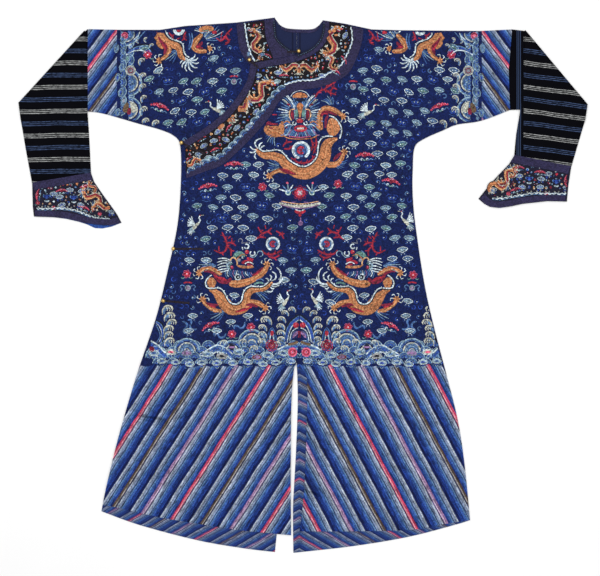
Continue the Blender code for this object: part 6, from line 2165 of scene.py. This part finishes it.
def makeClouds(name, surface, back=False):
    outline = backOutline if back else frontOutline
    s = Needle(name, surface, outline, back)
    for row in range(-4, 28):
        y = -18.0 + row * 27.5
        shift = 20.0 if row % 2 else 0.0
        for column in range(0, 10):
            for side in (-1, 1):
                x = mirrorLine + side * (21.0 + shift + column * 40.5) + chance.uniform(-4.5, 4.5)
                v = y + chance.uniform(-4, 4)
                if not clothSpot(x, v, 20.0, back) or busy(x, v):
                    continue
                tilt = (18.0 if x < 0 else -18.0) if v > 380 and abs(x) > 200 else 0.0
                s.move(x, v, chance.uniform(0.84, 0.96), tilt + chance.uniform(-12, 12))
                if (row * 2 + column) % 5 == 3:
                    swirl(s)
                else:
                    cloud(s, chance.randrange(4))
    for x, y in ((-178.1, -27.3), (-286, -80.6), (-143, -80.6), (-187.2, -96.2), (-223.6, -119.6),
            (-296.4, -119.6)):
        for side in (-1, 1):
            cloud(s.move(mirrorLine + side * (x - mirrorLine), y, 0.84, chance.uniform(-8, 8)), 1)
    s.finish()
    s = Needle(name + "Curls", surface, outline, back)
    side = "back" if back else "front"
    ground = [(x, y) for x, y in frontOutline if y > -130]
    for x, y in freeSpots(covered[side], ground, 14.0, 5.8, 9.0):
        if -120 < y < foldLine(x) - 8 and (y > -75 or abs(x - mirrorLine) < 330) and abs(x
                - mirrorLine) < 432 and not (y > 470 and abs(x - middle) < 90) and (back or not onTrim(x, y)):
            curl(s.move(x, y, chance.uniform(0.8, 1.1)))
    return s.finish()


def onTrim(x, y):
    # is this place under the neck band or its braids?
    spot = np.array([x]), np.array([y])
    return bool(within(trimOutline, *spot)[0] or within(rightTrimOutline, *spot)[0])


def makeMotifs():
    s = Needle("chestDragon", onFront)
    chestDragon(s.move(-5.2, 349.7))
    s.finish()
    s = Needle("centreEmblem", onFront)
    centreEmblem(s.move(-7.8, 239.2))
    s.finish()
    for side in ("left", "right"):
        s = Needle(side + "SkirtDragon", onFront)
        skirtDragon(s.move(*skirtPlaces[side], flip=side == "right"))
        s.finish()
        s = Needle(side + "ShoulderDragon", onFront)
        shoulderDragon(s.move(*shoulderPlaces[side], flip=side == "right"))
        s.finish()
    s = Needle("smallMotifs", onFront)
    for (x, y), turn, flip in craneSpots:
        crane(s.move(x, y, 1.05, turn, flip))
    for (x, y), turn in batSpots:
        bat(s.move(x, y, 1.0, turn))
    for x, y in posySpots:
        posy(s.move(x, y))
    for x, y in knotSpots:
        knot(s.move(x, y))
    s.finish()


def makeBack():
    s = Needle("backChestDragon", onFront, backOutline, True)
    chestDragon(s.move(-5.2, 349.7, flip=True))
    s.finish()
    for side in ("left", "right"):
        s = Needle(side + "BackDragons", onFront, backOutline, True)
        skirtDragon(s.move(*skirtPlaces[side], flip=side == "right"))
        shoulderDragon(s.move(*shoulderPlaces[side], flip=side == "right"))
        s.finish()
        s = Needle(side + "BackSea", onFront, backOutline, True)
        seaHalf(s.move(-9.5, -143, flip=side == "right"))
        s.finish()


def neckPiping():
    def over(xs, ys):
        return np.where(xs < middle, rightMany(xs, ys), leftMany(xs, ys)) + wall + gap + 1.0
    s = Needle("neckPiping", over, onFold([(-92, 706), (60, 700)]) + [(60, 640), (30, 560), (-60, 560),
        (-92, 620)])
    for line in (onFold(smoothLine(leftNeck, 4.4)), onFold(smoothLine(rightNeck, 4.4))):
        inner = [p for p in line if p[1] < foldLine(p[0]) - 3]
        inner = beside(inner, 3.4 if inner[0][0] > middle else -3.4)
        s.sew("ink", inner, 3.3, 0, step=9)
        for k in range(len(inner) - 1):
            a, b = inner[k], inner[k + 1]
            s.sew("haze", [(a[0], a[1]), (a[0] * 0.5 + b[0] * 0.5, a[1] * 0.5 + b[1] * 0.5)], 0.7, 1)
    s.finish()


# the loops: a doubled cord from each far end round the neck of its ball
fastenings = [("neck", (-11, 606), (-40, 604.5), 2), ("collar", (-139, 583), (-118, 566), 2),
    ("arm", (-315, 369), (-256, 340), 2), ("waist", (-336, 94), (-260, 94), 1),
    ("hip", (-362, -41), (-296, -47), 1)]


def makeLoops():
    for name, ball, end, layers in fastenings:
        base = rightFrontTop if name == "neck" else frontTop
        lift = gap + (1.0 + gap) * (layers - 1)
        length = math.dist(ball, end)
        ahead = ((end[0] - ball[0]) / length, (end[1] - ball[1]) / length)
        path = []
        for along, off in ([(length + 1.0, 0.3), (length, 1.3)] + [(length - 6.0 * k, 1.3) for k in range(1,
                int(length / 6.0))] + [(2.0, 1.6), (-1.4, 1.5), (-2.6, 0.0), (-1.4, -1.5),
                (2.0, -1.6)] + [(length - 6.0 * k, -1.3) for k in range(int(length / 6.0) - 1, 0, -1)]
                + [(length, -1.3), (length + 1.0, -0.3)]):
            path.append((ball[0] + ahead[0] * along - ahead[1] * off,
                ball[1] + ahead[1] * along + ahead[0] * off))
        data = bpy.data.curves.new(name, "CURVE")
        data.dimensions = "3D"
        data.bevel_depth = 1.25 * mm
        data.bevel_resolution = 2
        spline = data.splines.new("POLY")
        spline.points.add(len(path) - 1)
        for point, (x, y) in zip(spline.points, path):
            point.co = (x * mm, y * mm, 0.0, 1.0)
        spline.use_cyclic_u = True
        cord = bpy.data.objects.new(name + "Line", data)
        bpy.context.scene.collection.objects.link(cord)
        mesh = bpy.data.meshes.new_from_object(cord)
        bpy.data.objects.remove(cord)
        bm = bmesh.new()
        bm.from_mesh(mesh)
        for vert in bm.verts:
            vert.co.z = vert.co.z * 0.46 + (base(vert.co.x / mm, vert.co.y / mm) + lift + 0.6) * mm
        finishMesh("loopCord_" + name, bm, [loopCloth], "loop_" + name)


backOutline = shoulderPoints(-559.0, -73.0) + backNeck[1:-1] + shoulderPoints(51.0,
    543.0) + [(534, 556)] + smoothLine(leftSide)
backOutline += smoothLine(leftBackHem)[1:] + [(-73, -694)] + smoothLine(rightBackHem)[::-1][1:] + [p
    for p in smoothLine(rightSide)][::-1]
makeMotifs()
makeBorders()
makeClouds("frontClouds", onFront)
makeBack()
makeClouds("backClouds", onFront, True)
neckPiping()
makeLoops()
print("needlework ready")

for name in ("neck", "collar", "arm", "waist", "hip"):
    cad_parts["button_" + name].material_slots[0].material = brass


# floor, light and camera
stage = {"half": 6.0, "drop": 0.0005, "dark": 0.86, "light": 0.9, "glow": 0.55}


def makeStage():
    bm = bmesh.new()
    bmesh.ops.create_grid(bm, x_segments=1, y_segments=1, size=stage["half"])
    for vert in bm.verts:
        vert.co.z = -stage["drop"]
    mesh = bpy.data.meshes.new("floor")
    bm.to_mesh(mesh)
    bm.free()
    floor = bpy.data.objects.new("floor", mesh)
    bpy.context.scene.collection.objects.link(floor)
    material, nodes, shader = newMaterial("paleFloor", 0.9, 0.0)
    place, x, y = millimetres(nodes)
    low, high = ((stage[k], stage[k], stage[k], 1) for k in ("dark", "light"))
    shade = nodes.mix(nodes.noise(place, 0.003, 2.0), low, high)
    nodes.join(shade, shader.inputs["Base Color"])
    mesh.materials.append(material)


lamps = {"high": {"spot": (-0.5, 0.9, 3.0), "size": 2.6, "power": 62.0},
    "low": {"spot": (0.9, -0.8, 2.6), "size": 3.2, "power": 26.0}}


def makeLights():
    for name, facts in lamps.items():
        data = bpy.data.lights.new(name, "AREA")
        data.shape = "SQUARE"
        data.size = facts["size"]
        data.energy = facts["power"]
        lamp = bpy.data.objects.new(name, data)
        lamp.location = facts["spot"]
        lamp.rotation_euler = (-Vector(facts["spot"])).to_track_quat("-Z", "Y").to_euler()
        bpy.context.scene.collection.objects.link(lamp)
    world = bpy.data.worlds.new("studio")
    world.use_nodes = True
    world.node_tree.nodes["Background"].inputs["Color"].default_value = (1, 1, 1, 1)
    world.node_tree.nodes["Background"].inputs["Strength"].default_value = stage["glow"]
    bpy.context.scene.world = world


# how far the camera is, the width that it sees and the place under it, in metres
overhead = {"distance": 3.6, "across": 1.56, "sensor": 36.0, "middle": (-0.0078, -0.0078)}


def makeCamera():
    data = bpy.data.cameras.new("overhead")
    data.sensor_width = overhead["sensor"]
    data.lens = overhead["sensor"] * overhead["distance"] / overhead["across"]
    data.clip_end = 50.0
    camera = bpy.data.objects.new("overhead", data)
    camera.location = (*overhead["middle"], overhead["distance"])
    bpy.context.scene.collection.objects.link(camera)
    bpy.context.scene.camera = camera


makeStage()
makeLights()
makeCamera()
bpy.context.scene.view_settings.view_transform = "Standard"
